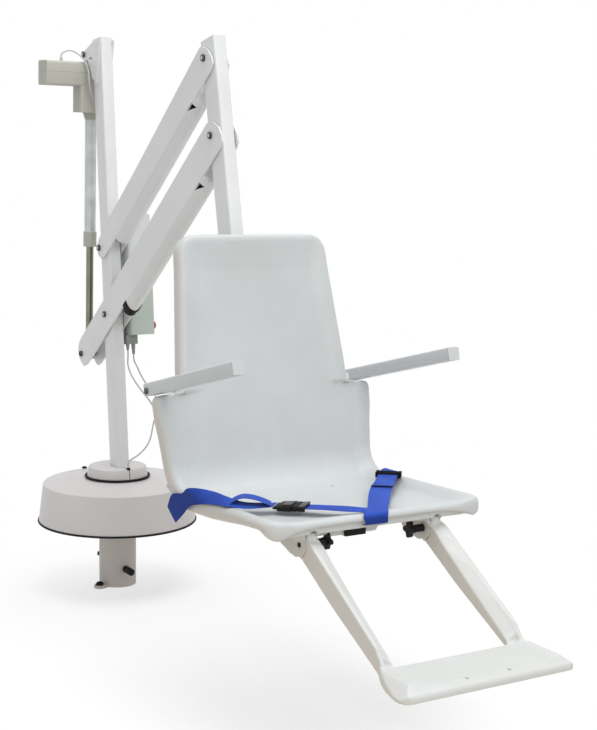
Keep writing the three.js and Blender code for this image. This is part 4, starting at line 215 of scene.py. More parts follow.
def painted(name, code, rough=0.35, shade=0.94, coat=0.2):
    """Powder coat: a fine orange peel, slight clouding and a thin clear layer."""
    look = Look(name)
    colour = rgb(code)
    cloud = look.noise(scale=7, detail=4)
    peel = look.noise(scale=900, detail=2)
    look.surface({
        "Base Color": look.ramp(cloud, 0.3, near(colour, shade), 0.7, colour),
        "Roughness": look.spread(look.noise(scale=60, detail=2), rough - 0.06, rough + 0.08),
        "Normal": look.bump(peel, distance=0.00008, strength=0.5),
        "Coat Weight": coat,
        "Coat Roughness": 0.25,
    })
    return look.material


# Moulded surfaces take a painted warm bounce-light tint where they face away from this direction of light
LIT_FROM = (0.6, -0.25, 0.75)
LIT_RANGE = (-0.75, 0.35)


def moulded(name, code, rough=0.5, grain=700, depth=0.00015, shade=0.93, warm=None, painted_bounce_light=None,
            shine=0.5):
    """Moulded plastic: fine texture, broad flow clouding, faint scuffs, and a painted warm bounce-light
    tint on faces turned from the light when one is given.
    """
    look = Look(name)
    colour = rgb(code)
    other = rgb(warm) if warm else near(colour, shade)
    cloud = look.noise(scale=4.5, detail=5, rough=0.6)
    scuff = look.noise(scale=140, detail=6, rough=0.7)
    base = look.ramp(look.weighed(cloud, 0.75, scuff, 0.25), 0.32, other, 0.6, colour)
    # Painted light: faces turned away from the light take the given warm bounce-light tint
    if painted_bounce_light:
        share = look.spread(look.facing(LIT_FROM), 1, 0, *LIT_RANGE)
        base = look.mix(share, base, rgb(painted_bounce_light))
    broad = look.bump(look.noise(scale=26, detail=2), distance=0.0006, strength=0.35)
    look.surface({
        "Base Color": base,
        "Roughness": look.spread(scuff, rough - 0.1, rough + 0.14),
        "Normal": look.bump(look.noise(scale=grain, detail=3), distance=depth, strength=0.6, under=broad),
        "Specular IOR Level": shine,
    })
    return look.material


def metal(name, code, rough=0.3, metallic=1.0, stretch=(1, 1, 1), shade=0.8):
    """Bare metal: brushed or turned grain, with darker patches where it is handled."""
    look = Look(name)
    colour = rgb(code)
    mapping = look.node("Mapping")
    mapping.inputs["Scale"].default_value = stretch
    look.join(look.coords.outputs["Object"], mapping.inputs["Vector"])
    lines = look.noise(scale=240, detail=4, rough=0.6, source=mapping.outputs["Vector"])
    cloud = look.noise(scale=24, detail=4)
    look.surface({
        "Base Color": look.ramp(cloud, 0.3, near(colour, shade), 0.65, colour),
        "Roughness": look.spread(lines, rough - 0.08, rough + 0.14),
        "Normal": look.bump(lines, distance=0.00004, strength=0.7),
        "Metallic": metallic,
    })
    return look.material


def woven(name, dark, light, across=14, along=420):
    """Webbing: ribs along it and a twill across it, from the strap's own length and width, with painted
    shade darkening the faces that do not face up.
    """
    look = Look(name)
    parts = look.node("SeparateXYZ")
    look.join(look.coords.outputs["UV"], parts.inputs["Vector"])
    width = look.maths("MULTIPLY", parts.outputs["X"], across * math.tau)
    length = look.maths("MULTIPLY", parts.outputs["Y"], along * math.tau)
    rows = look.maths("SINE", look.maths("ADD", length, width))
    ribs = look.maths("SINE", width)
    cloth = look.spread(look.maths("MULTIPLY", rows, ribs), 0, 1, start=-1)
    fibre = look.noise(scale=2600, detail=3, rough=0.7)
    tone = look.weighed(cloth, 0.5, look.noise(scale=16), 0.5)
    flat = look.ramp(tone, 0.2, rgb(dark), 0.8, rgb(light))
    # Painted shade: faces that stand upright or turn down are darkened towards a deep navy
    upright = look.spread(look.facing(UP), 0.55, 0, start=0.1, end=0.8)
    fine = look.bump(fibre, distance=0.0001, strength=0.4)
    look.surface({
        "Base Color": look.mix(upright, flat, near(rgb(dark), 0.3)),
        "Roughness": look.spread(fibre, 0.55, 0.8),
        "Normal": look.bump(cloth, distance=0.0005, strength=0.7, under=fine),
        "Sheen Weight": 0.03,
        "Sheen Roughness": 0.4,
        "Specular IOR Level": 0.18,
    })
    return look.material


WHITE = painted("white_paint", "eaebec")
DRUM = painted("drum_paint", "d9d5d4", rough=0.45)
POST = painted("post_metal", "e6dfda", rough=0.5, shade=0.85, coat=0.0)
ARMREST = painted("armrest_metal", "d4d6d8", rough=0.42)
PLUG = moulded("armrest_plug", "d0d3d5", rough=0.4)
# Painted warm bounce light tints the shell's faces turned from the light
SHELL = moulded("shell_plastic", "ccd0d1", rough=0.42, warm="c5c8c8", grain=420, depth=0.0002,
                painted_bounce_light="d8d2c8")
# A darker grey, painted as the shade inside the shell's slots, drain and recesses
RECESS_SHADE = moulded("painted_recess_shade", "9a9a94", rough=0.6)
# Painted warm bounce light tints the footrest's faces turned from the light
FOOT = moulded("footrest_plastic", "d6d8d7", rough=0.42, warm="d0d1cd", grain=420, depth=0.0002,
               painted_bounce_light="e2dbcf")
ACTUATOR = moulded("actuator_plastic", "bfbeb5", rough=0.5)
BOX = moulded("box_plastic", "bfcbc3", rough=0.45)
BATTERY = moulded("battery_plastic", "e0e4e1", rough=0.45)
BLOCK = moulded("block_plastic", "8f958f", rough=0.5)
# Lighter grey plastic, a painted highlight on the raised tops of the buckle and slider
SHEEN = moulded("highlight_black_plastic", "4c4c49", rough=0.35, shade=0.7, shine=0.5)
BLACK = moulded("black_plastic", "151515", rough=0.5, shade=0.6, shine=0.2)
TRIM = moulded("trim_rubber", "111112", rough=0.6, shade=0.6, shine=0.2)
RED = moulded("red_plastic", "b3101c", rough=0.3, shade=0.85)
STEEL = metal("steel", "b4b6b8", rough=0.28)
DARK_STEEL = metal("dark_steel", "55565a", rough=0.35)
TUBE = metal("tube_metal", "d8dcdc", rough=0.4, metallic=0.35, stretch=(1, 1, 0.05))
ROD = metal("rod_metal", "8a8a78", rough=0.22, stretch=(1, 1, 0.04))
LEAD = moulded("cable", "c4c6c7", rough=0.5, grain=1500, depth=0.00003)
WEB = woven("webbing", "1a389a", "3560cc")
# Dark stitching thread, also standing as the painted shade at the doubled strap end
THREAD_AND_SHADE = woven("thread_and_shade", "0a164e", "122568", across=6, along=900)


# Curves through points, as the part's own cords have
CURVE_CUTS = 24
TINY = 1e-9


def lengths_along(spots):
    reach = [0]
    for a, b in zip(spots, spots[1:]):
        reach.append(reach[-1] + (b - a).length)
    return reach


def through(points, steps):
    """Centripetal curve through the points, cut into the given number of equal steps."""
    pts = [Vector(p) for p in points]
    pts = [pts[0] * 2 - pts[1]] + pts + [pts[-1] * 2 - pts[-2]]
    fine = []
    for a, b, c, d in zip(pts, pts[1:], pts[2:], pts[3:]):
        t0 = 0
        t1 = t0 + (b - a).length ** 0.5
        t2 = t1 + (c - b).length ** 0.5
        t3 = t2 + (d - c).length ** 0.5
        for i in range(CURVE_CUTS):
            t = t1 + (t2 - t1) * i / CURVE_CUTS
            a1 = a * ((t1 - t) / (t1 - t0)) + b * ((t - t0) / (t1 - t0))
            a2 = b * ((t2 - t) / (t2 - t1)) + c * ((t - t1) / (t2 - t1))
            a3 = c * ((t3 - t) / (t3 - t2)) + d * ((t - t2) / (t3 - t2))
            b1 = a1 * ((t2 - t) / (t2 - t0)) + a2 * ((t - t0) / (t2 - t0))
            b2 = a2 * ((t3 - t) / (t3 - t1)) + a3 * ((t - t1) / (t3 - t1))
            fine.append(b1 * ((t2 - t) / (t2 - t1)) + b2 * ((t - t1) / (t2 - t1)))
    fine.append(pts[-2].copy())
    reach = lengths_along(fine)
    out = []
    k = 0
    for i in range(steps + 1):
        want = reach[-1] * i / steps
        while k < len(fine) - 2 and reach[k + 1] < want:
            k += 1
        share = (want - reach[k]) / max(TINY, reach[k + 1] - reach[k])
        out.append(fine[k].lerp(fine[k + 1], min(1, share)))
    return out, reach[-1]


# Leads
CABLE_RADIUS = 2.3
CORD_STEPS = 40
CORD_ROUNDING = 4


def make_cord(name, node, body, route, tied_to=None):
    spots, length = through(route, CORD_STEPS)
    curve = bpy.data.curves.new(name, "CURVE")
    curve.dimensions = "3D"
    spline = curve.splines.new("POLY")
    spline.points.add(len(spots) - 1)
    for slot, spot in zip(spline.points, spots):
        slot.co = (*(spot * MM), 1)
    spline.use_smooth = True
    curve.bevel_depth = CABLE_RADIUS * MM
    curve.bevel_resolution = CORD_ROUNDING
    curve.use_fill_caps = True
    curve.materials.append(LEAD)
    obj = link(bpy.data.objects.new(name, curve))
    if tied_to:
        # Its first end sits on the actuator, but the lead is made a plain mesh in place, tied to no body
        mesh = bpy.data.meshes.new_from_object(obj)
        bpy.data.objects.remove(obj)
        obj = link(bpy.data.objects.new(name, mesh))
        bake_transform(obj)
    else:
        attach(obj, body)
    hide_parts(node)


# Places on the leaning mast, on the actuator's line and on the drum's sloping top
RAKE = math.radians(5.47)
MAST_FOOT_Y = -51.9
MAST_DEPTH = 65
STROKE_FROM = Vector((0, 191.5, 1630.6))
LUG = Vector((0, 218.24, 697.89))
STROKE_UP = (STROKE_FROM - LUG).normalized()
STROKE_BACK = SIDEWAYS.cross(STROKE_UP) * -1
SHOULDER_RADIUS = 228.5
SHOULDER_ROUND = 7
SHOULDER = (SHOULDER_RADIUS - SHOULDER_ROUND, 324)
CROWN = (84, 340)


def on_mast(x, depth, height):
    y = MAST_FOOT_Y + depth * math.cos(RAKE) + height * math.sin(RAKE)
    return Vector((x, y, height * math.cos(RAKE) - depth * math.sin(RAKE)))


def on_stroke(x, depth, height):
    return STROKE_FROM + Vector((x, 0, 0)) + STROKE_BACK * depth + STROKE_UP * height


def drum_slope(x, y):
    """Direction out of the drum's top at the place."""
    out = Vector((x, y, 0)).normalized()
    run = Vector((CROWN[0] - SHOULDER[0], CROWN[1] - SHOULDER[1])).normalized()
    return (out * run.y + UP * -run.x).normalized()


def drum_point(x, y):
    r = math.hypot(x, y)
    share = (SHOULDER[0] - r) / (SHOULDER[0] - CROWN[0])
    return Vector((x, y, SHOULDER[1] + (CROWN[1] - SHOULDER[1]) * share))


# Routes of the leads, the same as the part's
RELIEF_DEPTH = -21
RELIEF_GAP = 0.3
STRAIGHT = 18
GROMMET_PROUD = 5
ENTRY_GAP = 0.6
MOTOR_RELIEF = (34, 733)
MOTOR_ROUTE = ((29, -14, 690), (31, -24, 668), (40, -40, 640), (57, -60, 608), (77, -78, 575),
               (88, -90, 542), (78, -92, 512), (70, -98, 486), (62, -100, 463), (48, -98, 440),
               (25, -92, 418))
COLLAR_TOP = 375
COLLAR_ENTRY_Y = -81
SENSOR_RELIEF = (53, 719)
SENSOR_ROUTE = ((60, -14, 680), (74, -22, 646), (96, -40, 606), (124, -74, 556), (143, -108, 506),
                (150, -135, 456), (147, -148, 406), (141, -151, 370))
DRUM_ENTRY = (135, -150)
HEAD_RELIEF = (-97, 4, -11)
HEAD_STRAIGHT = 9
ACTUATOR_ROUTE = ((-89, 194, 1634), (-76, 190, 1640), (-60, 180, 1636), (-46, 168, 1624),
                  (-36, 155, 1606), (-31, 142, 1580), (-31, 134, 1545), (-25, 138, 1515),
                  (-12, 142, 1490))
MAST_ENTRY_HEIGHT = 1480
MAST_ENTRY_INSET = 6


def out_of_box(relief):
    """The straight start of a lead under the control box."""
    x, base = relief
    return [on_mast(x, RELIEF_DEPTH, base - RELIEF_GAP), on_mast(x, RELIEF_DEPTH, base - STRAIGHT)]


def make_cords():
    top = COLLAR_TOP + GROMMET_PROUD + ENTRY_GAP
    make_cord("lead_a", "motor_lead", "swivel",
              [*out_of_box(MOTOR_RELIEF), *MOTOR_ROUTE, (0, COLLAR_ENTRY_Y, top + STRAIGHT),
               (0, COLLAR_ENTRY_Y, top)])
    slope = drum_slope(*DRUM_ENTRY)
    spot = drum_point(*DRUM_ENTRY)
    proud = GROMMET_PROUD + ENTRY_GAP
    make_cord("lead_b", "sensor_lead", "swivel",
              [*out_of_box(SENSOR_RELIEF), *SENSOR_ROUTE, spot + slope * (proud + STRAIGHT),
               spot + slope * proud])
    x, depth, base = HEAD_RELIEF
    inside = MAST_DEPTH / 2 - MAST_ENTRY_INSET
    make_cord("lead_c", "actuator_lead", "swivel",
              [on_stroke(x, depth, base + RELIEF_GAP), on_stroke(x, depth, base + HEAD_STRAIGHT),
               *ACTUATOR_ROUTE, on_mast(0, inside + STRAIGHT, MAST_ENTRY_HEIGHT),
               on_mast(0, inside, MAST_ENTRY_HEIGHT)], tied_to="actuator")


make_cords()


# Skins: a node's own surface, with rounded edges
MERGE = 0.02
FLAT_ANGLE = math.radians(0.6)
ROUND_ANGLE = 32
ROUND_STEPS = 2
EASING = 0.5


def copied(node, look, dropped):
    """A copy of a node's mesh in one material, without the named attributes."""
    mesh = NODES[node].data.copy()
    mesh.materials.clear()
    mesh.materials.append(look)
    for name in dropped:
        found = mesh.attributes.get(name)
        if found is not None:
            mesh.attributes.remove(found)
    return mesh


def settle(obj):
    """Turns the modifiers' result into the object's own mesh."""
    graph = bpy.context.evaluated_depsgraph_get()
    shaped = obj.evaluated_get(graph)
    made = bpy.data.meshes.new_from_object(shaped, preserve_all_data_layers=True, depsgraph=graph)
    obj.modifiers.clear()
    obj.data = made


def stand_in(obj, node):
    """Puts the object in the place of a node."""
    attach(obj, NODES[node]["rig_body"])
    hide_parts(node)


def skin(node, look, width, angle=ROUND_ANGLE):
    """The node's surface with edges rounded to a width, or only sharp where the width is zero."""
    mesh = copied(node, look, ("custom_normal", "sharp_edge", "sharp_face"))
    bm = bmesh.new()
    bm.from_mesh(mesh)
    bmesh.ops.remove_doubles(bm, verts=bm.verts, dist=MERGE * MM)
    bmesh.ops.dissolve_limit(bm, angle_limit=FLAT_ANGLE, use_dissolve_boundaries=False,
                             verts=bm.verts, edges=bm.edges)
    for face in bm.faces:
        face.smooth = True
        face.material_index = 0
    bm.to_mesh(mesh)
    bm.free()
    obj = link(bpy.data.objects.new("skin_" + node, mesh))
    if width:
        bevel = obj.modifiers.new("round", "BEVEL")
        bevel.width = width * MM
        bevel.segments = ROUND_STEPS
        bevel.limit_method = "ANGLE"
        bevel.angle_limit = math.radians(angle)
        bevel.harden_normals = True
        bevel.miter_outer = "MITER_ARC"
    settle(obj)
    if not width:
        obj.data.set_sharp_from_angle(angle=math.radians(angle))
    stand_in(obj, node)


def soften(node, look, voxel, rounds, more=None):
    """A moulded piece: its surface rebuilt in even small faces and eased, so its edges are round."""
    mesh = copied(node, look, ("custom_normal",))
    if more:
        bm = bmesh.new()
        bm.from_mesh(mesh)
        more(bm)
        bm.to_mesh(mesh)
        bm.free()
    obj = link(bpy.data.objects.new("skin_" + node, mesh))
    weld = obj.modifiers.new("weld", "WELD")
    weld.merge_threshold = MERGE * MM
    even = obj.modifiers.new("even", "REMESH")
    even.mode = "VOXEL"
    even.voxel_size = voxel * MM
    even.use_smooth_shade = True
    ease = obj.modifiers.new("ease", "SMOOTH")
    ease.factor = EASING
    ease.iterations = rounds
    settle(obj)
    for polygon in obj.data.polygons:
        polygon.use_smooth = True
    stand_in(obj, node)


# Each node's width of rounding, by material and slot
SKINS = (
    (WHITE, "white_paint", {"mast": 1.0, "upright": 1.2, "upper_arm": 1.2, "lower_arm": 1.2,
                            "seat_frame": 1.5, "turntable": 1.0}),
    (POST, "post_metal", {"anchor_post": 1.0}),
    (BOX, "box_plastic", {"control_box": 1.2}),
    (BATTERY, "box_plastic", {"battery": 1.2}),
    (BLOCK, "actuator_plastic", {"plug_block": 0.8}),
    (ACTUATOR, "actuator_plastic", {"actuator_cover": 1.0, "actuator_body": 1.0, "actuator_ring": 0.8}),
    (TUBE, "tube_metal", {"actuator_tube": 0.6}),
    (ROD, "rod_metal", {"actuator_rod": 0.6}),
    (ARMREST, "armrest_metal", {"armrest_left": 0.8, "armrest_right": 0.8}),
    (PLUG, "armrest_plug", {"armrest_plug_left": 1.0, "armrest_plug_right": 1.0}),
    (BLACK, "black_plastic", {"arm_bumper": 1.5, "clamp_handle": 1.5, "foot_ear_cap": 1.5,
                              "footrest_knob_left": 1.5, "footrest_knob_right": 1.5,
                              "seat_frame_cap": 1.0, "drum_plug": 1.0, "cord_grommet": 0.6,
                              "drum_grommet": 0.6}),
    (RED, "red_plastic", {"stop_button": 1.0}),
    (DARK_STEEL, "dark_steel", {"post_bolt": 0.6, "upper_mast_bolt": 0.6, "lower_mast_bolt": 0.6,
                                "gusset_bolt": 0.6, "lug_bolt_left": 0.6, "lug_bolt_right": 0.6,
                                "upper_upright_bolt": 0.6, "lower_upright_bolt": 0.6,
                                "armrest_bolt_left": 0.6, "armrest_bolt_right": 0.6,
                                "slew_motor": 0.8, "actuator_motor": 0.8}),
    (STEEL, "steel", {"slew_gear": 0.0, "slew_pinion": 0.0, "slew_bearing": 0.6, "actuator_screw": 0.4}),
)
for look, slot, widths in SKINS:
    for node, width in widths.items():
        skin(node, look, width)


# Shapes joined from rows of points
CREASE = 40


def corner(bm, spot):
    return bm.verts.new([value * MM for value in spot])


def walls(bm, rows):
    """Joins each row of points to the next one with faces, all the way round."""
    made = []
    for here, there in zip(rows, rows[1:]):
        for i in range(len(here)):
            k = (i + 1) % len(here)
            made.append(bm.faces.new((here[i], here[k], there[k], there[i])))
    return made


def closed(bm, rows):
    """A solid between its first row of points and its last one, whose face comes last."""
    return walls(bm, rows) + [bm.faces.new(rows[0]), bm.faces.new(rows[-1])]


def finished(name, bm, looks, body, angle=CREASE):
    """Makes an object of the mesh, with its materials and body."""
    bmesh.ops.recalc_face_normals(bm, faces=bm.faces)
    for face in bm.faces:
        face.smooth = True
    mesh = bpy.data.meshes.new(name)
    bm.to_mesh(mesh)
    bm.free()
    for look in looks:
        mesh.materials.append(look)
    mesh.set_sharp_from_angle(angle=math.radians(angle))
    obj = link(bpy.data.objects.new(name, mesh))
    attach(obj, body)
    return obj


# Each leg's top slopes from its outer edge down to its inner edge
LEG_IN, LEG_OUT = 150, 176
LEG_DEPTH = 14
LEG_STATIONS = ((-1404, 484, 486), (-1434, 471, 479), (-1474, 440, 454), (-1560, 382, 402),
                (-1640, 329, 353), (-1688, 298, 322), (-1704, 287, 304))


def fill_legs(bm):
    for way in (-1, 1):
        rows = []
        for y, inner, outer in LEG_STATIONS:
            low = inner - LEG_DEPTH
            corners = ((LEG_IN, inner), (LEG_OUT, outer), (LEG_OUT, low), (LEG_IN, low))
            rows.append([corner(bm, (way * x, y, z)) for x, z in corners])
        bmesh.ops.recalc_face_normals(bm, faces=closed(bm, rows))


soften("chair_shell", SHELL, voxel=3.5, rounds=3)
soften("footrest", FOOT, voxel=2.6, rounds=4, more=fill_legs)
for node in ("drum_cover", "collar_cover"):
    skin(node, DRUM, 0.0, angle=CREASE)


# Buckle and slider, built of rounded slabs in the webbing's own directions
BUCKLE_FROM = Vector((-175, -1262, 531))
BUCKLE_TO = Vector((-121, -1318, 532))
RIGHT_FROM = Vector((262, -1092, 535))
RIGHT_TO = Vector((-10, -1424, 543))
SLIDER_AT = 48
SLAB_STEPS = 3
# Each slab: its low corner, its high corner, the width of its rounding, how much lower its top is
# at its start, and 1 where its top takes the lighter plastic as a painted highlight
SOCKET_SLABS = (
    ((0.5, -25, -5), (17, 25, 2.4), 2.6, 2.2, 0), ((12, -30, -7.5), (46, -25.5, 5.5), 2, 4, 0),
    ((12, 25.5, -7.5), (46, 30, 5.5), 2, 4, 0), ((12, -29, -7.5), (46, 29, -4.2), 1.4, 0, 0),
    ((12, -29, 2.4), (46, 29, 5.8), 1.5, 2.6, 0), ((22, -20, 5), (44, 20, 7.5), 1.2, 1.2, 1),
    ((12, -29, -7), (18, 29, 3), 1.4, 1.4, 0),
)
TONGUE_SLABS = (
    ((18.5, -24.6, -3.4), (52, -17.5, 1.4), 1.6, 1.4, 0),
    ((18.5, 17.5, -3.4), (52, 24.6, 1.4), 1.6, 1.4, 0),
    ((24, -8, -2.6), (52, 8, 0.8), 1.2, 1.4, 0), ((46.6, -28, -7), (58, 28, 5.4), 2.2, 0, 0),
    ((54, -27, -6.5), (77, -20.5, 4.6), 2.2, -1.4, 0), ((54, 20.5, -6.5), (77, 27, 4.6), 2.2, -1.4, 0),
    ((55, -25, -5.6), (73, 25, -2.6), 1.2, 0, 0), ((60, -27, 3.4), (77, 27, 7.4), 1.8, 2.2, 1),
    ((49, -24, 4.6), (56, 24, 6.2), 0.8, 0, 0),
)
SLIDER_SLABS = (
    ((-13, 26.5, -4.2), (13, 30.3, 6.2), 2.2, 0, 0), ((-13, -30.3, -4.2), (13, -26.5, 6.2), 2.2, 0, 0),
    ((-13, -28, -4.2), (-8.6, 28, -2.9), 0.6, 0, 0), ((-13, -28, 3.5), (-8.6, 28, 6.2), 1.2, 0, 0),
    ((8.6, -28, -4.2), (13, 28, -2.9), 0.6, 0, 0), ((8.6, -28, 3.5), (13, 28, 6.2), 1.2, 0, 0),
    ((-2.4, -28, 3.6), (2.4, 28, 6.0), 1.1, 0, 1),
)


def strap_frame(start, end, reach):
    """Axes along the webbing, across it and out of its face, from a place on the line it follows."""
    way = (end - start).normalized()
    across = UP.cross(way).normalized()
    turn = Matrix((way, across, way.cross(across))).transposed().to_4x4()
    return Matrix.Translation((start + way * reach) * MM) @ turn @ Matrix.Scale(MM, 4)


def slabs(name, node, place, boxes):
    bm = bmesh.new()
    for low, high, width, drop, painted_highlight in boxes:
        made = bmesh.ops.create_cube(bm, size=1)["verts"]
        for vert in made:
            spot = [low[i] if vert.co[i] < 0 else high[i] for i in range(3)]
            if spot[2] == high[2] and spot[0] == low[0]:
                spot[2] -= drop
            vert.co = place @ Vector(spot)
        # Slabs marked 1 take the lighter plastic as a painted highlight
        for face in {f for v in made for f in v.link_faces}:
            face.material_index = painted_highlight
        edges = {e for v in made for e in v.link_edges}
        bmesh.ops.bevel(bm, geom=list(edges), offset=width * MM, segments=SLAB_STEPS, profile=0.5,
                        affect="EDGES", clamp_overlap=True)
    obj = finished(name, bm, [BLACK, SHEEN], NODES[node]["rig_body"], angle=50)
    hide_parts(node)


buckle_place = strap_frame(BUCKLE_FROM, BUCKLE_TO, 0)
slabs("buckle_housing", "buckle_socket", buckle_place, SOCKET_SLABS)
slabs("buckle_blade", "buckle_tongue", buckle_place, TONGUE_SLABS)
slabs("slider_frame", "strap_slider", strap_frame(RIGHT_FROM, RIGHT_TO, SLIDER_AT), SLIDER_SLABS)


# Rubber edge rings of the drum and its collar
EDGE_TUBE = 3.4
EDGE_STEPS = 144
EDGE_AROUND = 12


def edge_ring(name, node, radius, height):
    bm = bmesh.new()
    rings = []
    for i in range(EDGE_STEPS):
        a = math.tau * i / EDGE_STEPS
        ring = []
        for j in range(EDGE_AROUND):
            t = math.tau * j / EDGE_AROUND
            r = radius + EDGE_TUBE * math.cos(t)
            ring.append(corner(bm, (r * math.cos(a), r * math.sin(a), height + EDGE_TUBE * math.sin(t))))
        rings.append(ring)
    walls(bm, rings + rings[:1])
    obj = finished(name, bm, [TRIM], NODES[node]["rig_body"])
    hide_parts(node)


edge_ring("drum_edge", "drum_trim", 241.6, 206.2)
edge_ring("collar_edge", "collar_trim", 97.6, 343.2)


# Steel hexagons in the sockets of the bolts
HEX_CHAMFER = 0.6
HEX_CHAMFER_IN = 0.7


def hexagons(bolt, radius=5.6, deep=3.6, proud=0.6):
    low, high = (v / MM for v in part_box(bolt))
    y, z = (low.y + high.y) / 2, (low.z + high.z) / 2
    bm = bmesh.new()
    for side, end in ((-1, low.x), (1, high.x)):
        rows = []
        for out, r in ((-deep, radius), (proud - HEX_CHAMFER, radius), (proud, radius - HEX_CHAMFER_IN)):
            turns = [math.tau * k / 6 for k in range(6)]
            rows.append([corner(bm, (end + side * out, y + r * math.cos(a), z + r * math.sin(a)))
                         for a in turns])
        closed(bm, rows)
    finished("hexagon_" + bolt, bm, [STEEL], NODES[bolt]["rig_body"], angle=25)


for bolt in ("upper_mast_bolt", "lower_mast_bolt", "gusset_bolt", "upper_upright_bolt",
             "lower_upright_bolt"):
    hexagons(bolt)
for bolt in ("armrest_bolt_left", "armrest_bolt_right"):
    hexagons(bolt, radius=4.6, deep=3.4, proud=-0.2)


# Rubber lip of the bumper, round the end of the lower arm's trough
ARM_RISE = math.radians(37.81)
ARM_PIVOT = (33.92, 840.91)
TROUGH_HALF = 26
TROUGH_CENTRE = -52
TROUGH_START = 131.6
LIP_GAP = 0.1
LIP_THICK = 2.4
LIP_ROUND = (1.2, 1.5)
LIP_REACH = 7
LIP_REACH_MORE = 15
LIP_LEFT_MORE = 3
LIP_STEPS = 28


def on_arm(x, across_by, along_by):
    y = ARM_PIVOT[0] + across_by * math.sin(ARM_RISE) - along_by * math.cos(ARM_RISE)
    return Vector((x, y, ARM_PIVOT[1] + across_by * math.cos(ARM_RISE) + along_by * math.sin(ARM_RISE)))


def bumper_lip():
    bm = bmesh.new()
    rows = []
    inside, outside = TROUGH_HALF + LIP_GAP, TROUGH_HALF + LIP_THICK
    for i in range(LIP_STEPS + 1):
        a = math.pi * (1 + i / LIP_STEPS)
        reach = LIP_REACH + LIP_REACH_MORE * math.cos(a) ** 2
        if i < LIP_STEPS / 2:
            reach += LIP_LEFT_MORE
        section = ((inside, 0), (outside, 0), (outside, reach - LIP_ROUND[1]),
                   (outside - LIP_ROUND[0], reach), (inside, reach))
        row = []
        for r, further in section:
            spot = on_arm(r * math.cos(a), TROUGH_CENTRE + r * math.sin(a), TROUGH_START + further)
            row.append(corner(bm, spot))
        rows.append(row)
    closed(bm, rows)
    finished("bumper_lip", bm, [BLACK], "lower_arm")


bumper_lip()


# Small moulded marks on the shell: a raised rim round a shallow floor, whose darker colour is painted
# shade for the hollow
MARK_STEPS = 32
MARK_SUNK = -1.5
RIM_HEIGHT = 1.2
RIM_OUTSIDE, RIM_INSIDE, RIM_FOOT = 0.6, 1.6, 2.2
MARK_FLOOR = 0.3


def mark(name, centre, normal, along, length, width, rim=RIM_HEIGHT, floor=MARK_FLOOR):
    out = Vector(normal).normalized()
    run = Vector(along)
    run = (run - out * run.dot(out)).normalized()
    over = out.cross(run)
    bm = bmesh.new()
    rows = []
    profile = ((0, MARK_SUNK), (0, rim / 2), (RIM_OUTSIDE, rim), (RIM_INSIDE, rim), (RIM_FOOT, floor))
    for edge, height in profile:
        row = []
        half, r = (length - width) / 2, width / 2 - edge
        for i in range(MARK_STEPS):
            a = math.tau * (i + 0.5) / MARK_STEPS
            shift = half if math.cos(a) > 0 else -half
            spot = Vector(centre) + run * (shift + r * math.cos(a)) + over * (r * math.sin(a))
            row.append(corner(bm, spot + out * height))
        rows.append(row)
    # The floor takes the darker colour as painted shade
    closed(bm, rows)[-1].material_index = 1
    finished(name, bm, [SHELL, RECESS_SHADE], "carrier")


for side, word in ((-1, "left"), (1, "right")):
    mark("arm_well_" + word, (side * 238, -919, 744), (0, -1, 0.15), (1, 0, 0), length=24, width=13)
    mark("strap_slot_" + word, (side * 291, -961, 517.5), (side, 0, -0.2), (0, -27, -19),
         length=36, width=7)
mark("seat_drain", (109, -1060, 505.9), (0, 0, 1), (1, 0, 0), length=15, width=12, rim=0.5, floor=0.1)


# Webbing: thin bands between two edges, with their own length and width as texture space
WEB_THICK = 1.8
WEB_WIDTH = 48
WEB_PARTS = 6
WEB_EDGE_SHARE = 0.4
WEB_SWELL_SHARE = 2.6
RIPPLE_LENGTH = 19
RIPPLE_LEAN = 2.1
WEB_CREASE = 60
PLAIN, STITCHED_AND_SHADED = 0, 1


def band(bm, space, front, rear, steps, thick=WEB_THICK, ripple=0.0, lift_by=0.0):
    """Adds a band of webbing between two edge lines, and gives its length and its faces."""
    ahead, _ = through(front, steps)
    behind, _ = through(rear, steps)
    middle = [(a + b) / 2 for a, b in zip(ahead, behind)]
    reach = lengths_along(middle)
    rows = []
    for i, (a, b) in enumerate(zip(ahead, behind)):
        way = middle[min(i + 1, steps)] - middle[max(i - 1, 0)]
        normal = way.cross(b - a).normalized()
        row = []
        for side in (1, -1):
            line = []
            for k in range(WEB_PARTS + 1):
                share = k / WEB_PARTS
                edge = 1 - abs(2 * share - 1)
                half = thick / 2 * min(1, WEB_EDGE_SHARE + WEB_SWELL_SHARE * edge)
                wave = ripple * math.sin(reach[i] / RIPPLE_LENGTH + share * RIPPLE_LEAN)
                wave *= math.sin(math.pi * i / steps)
                spot = a.lerp(b, share) + normal * (side * half + wave + lift_by)
                line.append((bm.verts.new(spot * MM), share, reach[i] * MM))
            row += line if side > 0 else line[::-1]
        rows.append(row)
    made = []
    for here, there in zip(rows, rows[1:]):
        for k in range(len(here)):
            following = (k + 1) % len(here)
            corners = (here[k], here[following], there[following], there[k])
            face = bm.faces.new([c[0] for c in corners])
            face.smooth = True
            made.append(face)
            for loop, (_, across, along) in zip(face.loops, corners):
                loop[space].uv = (across, along)
    made.append(bm.faces.new([c[0] for c in rows[0]][::-1]))
    made.append(bm.faces.new([c[0] for c in rows[-1]]))
    return reach[-1], made


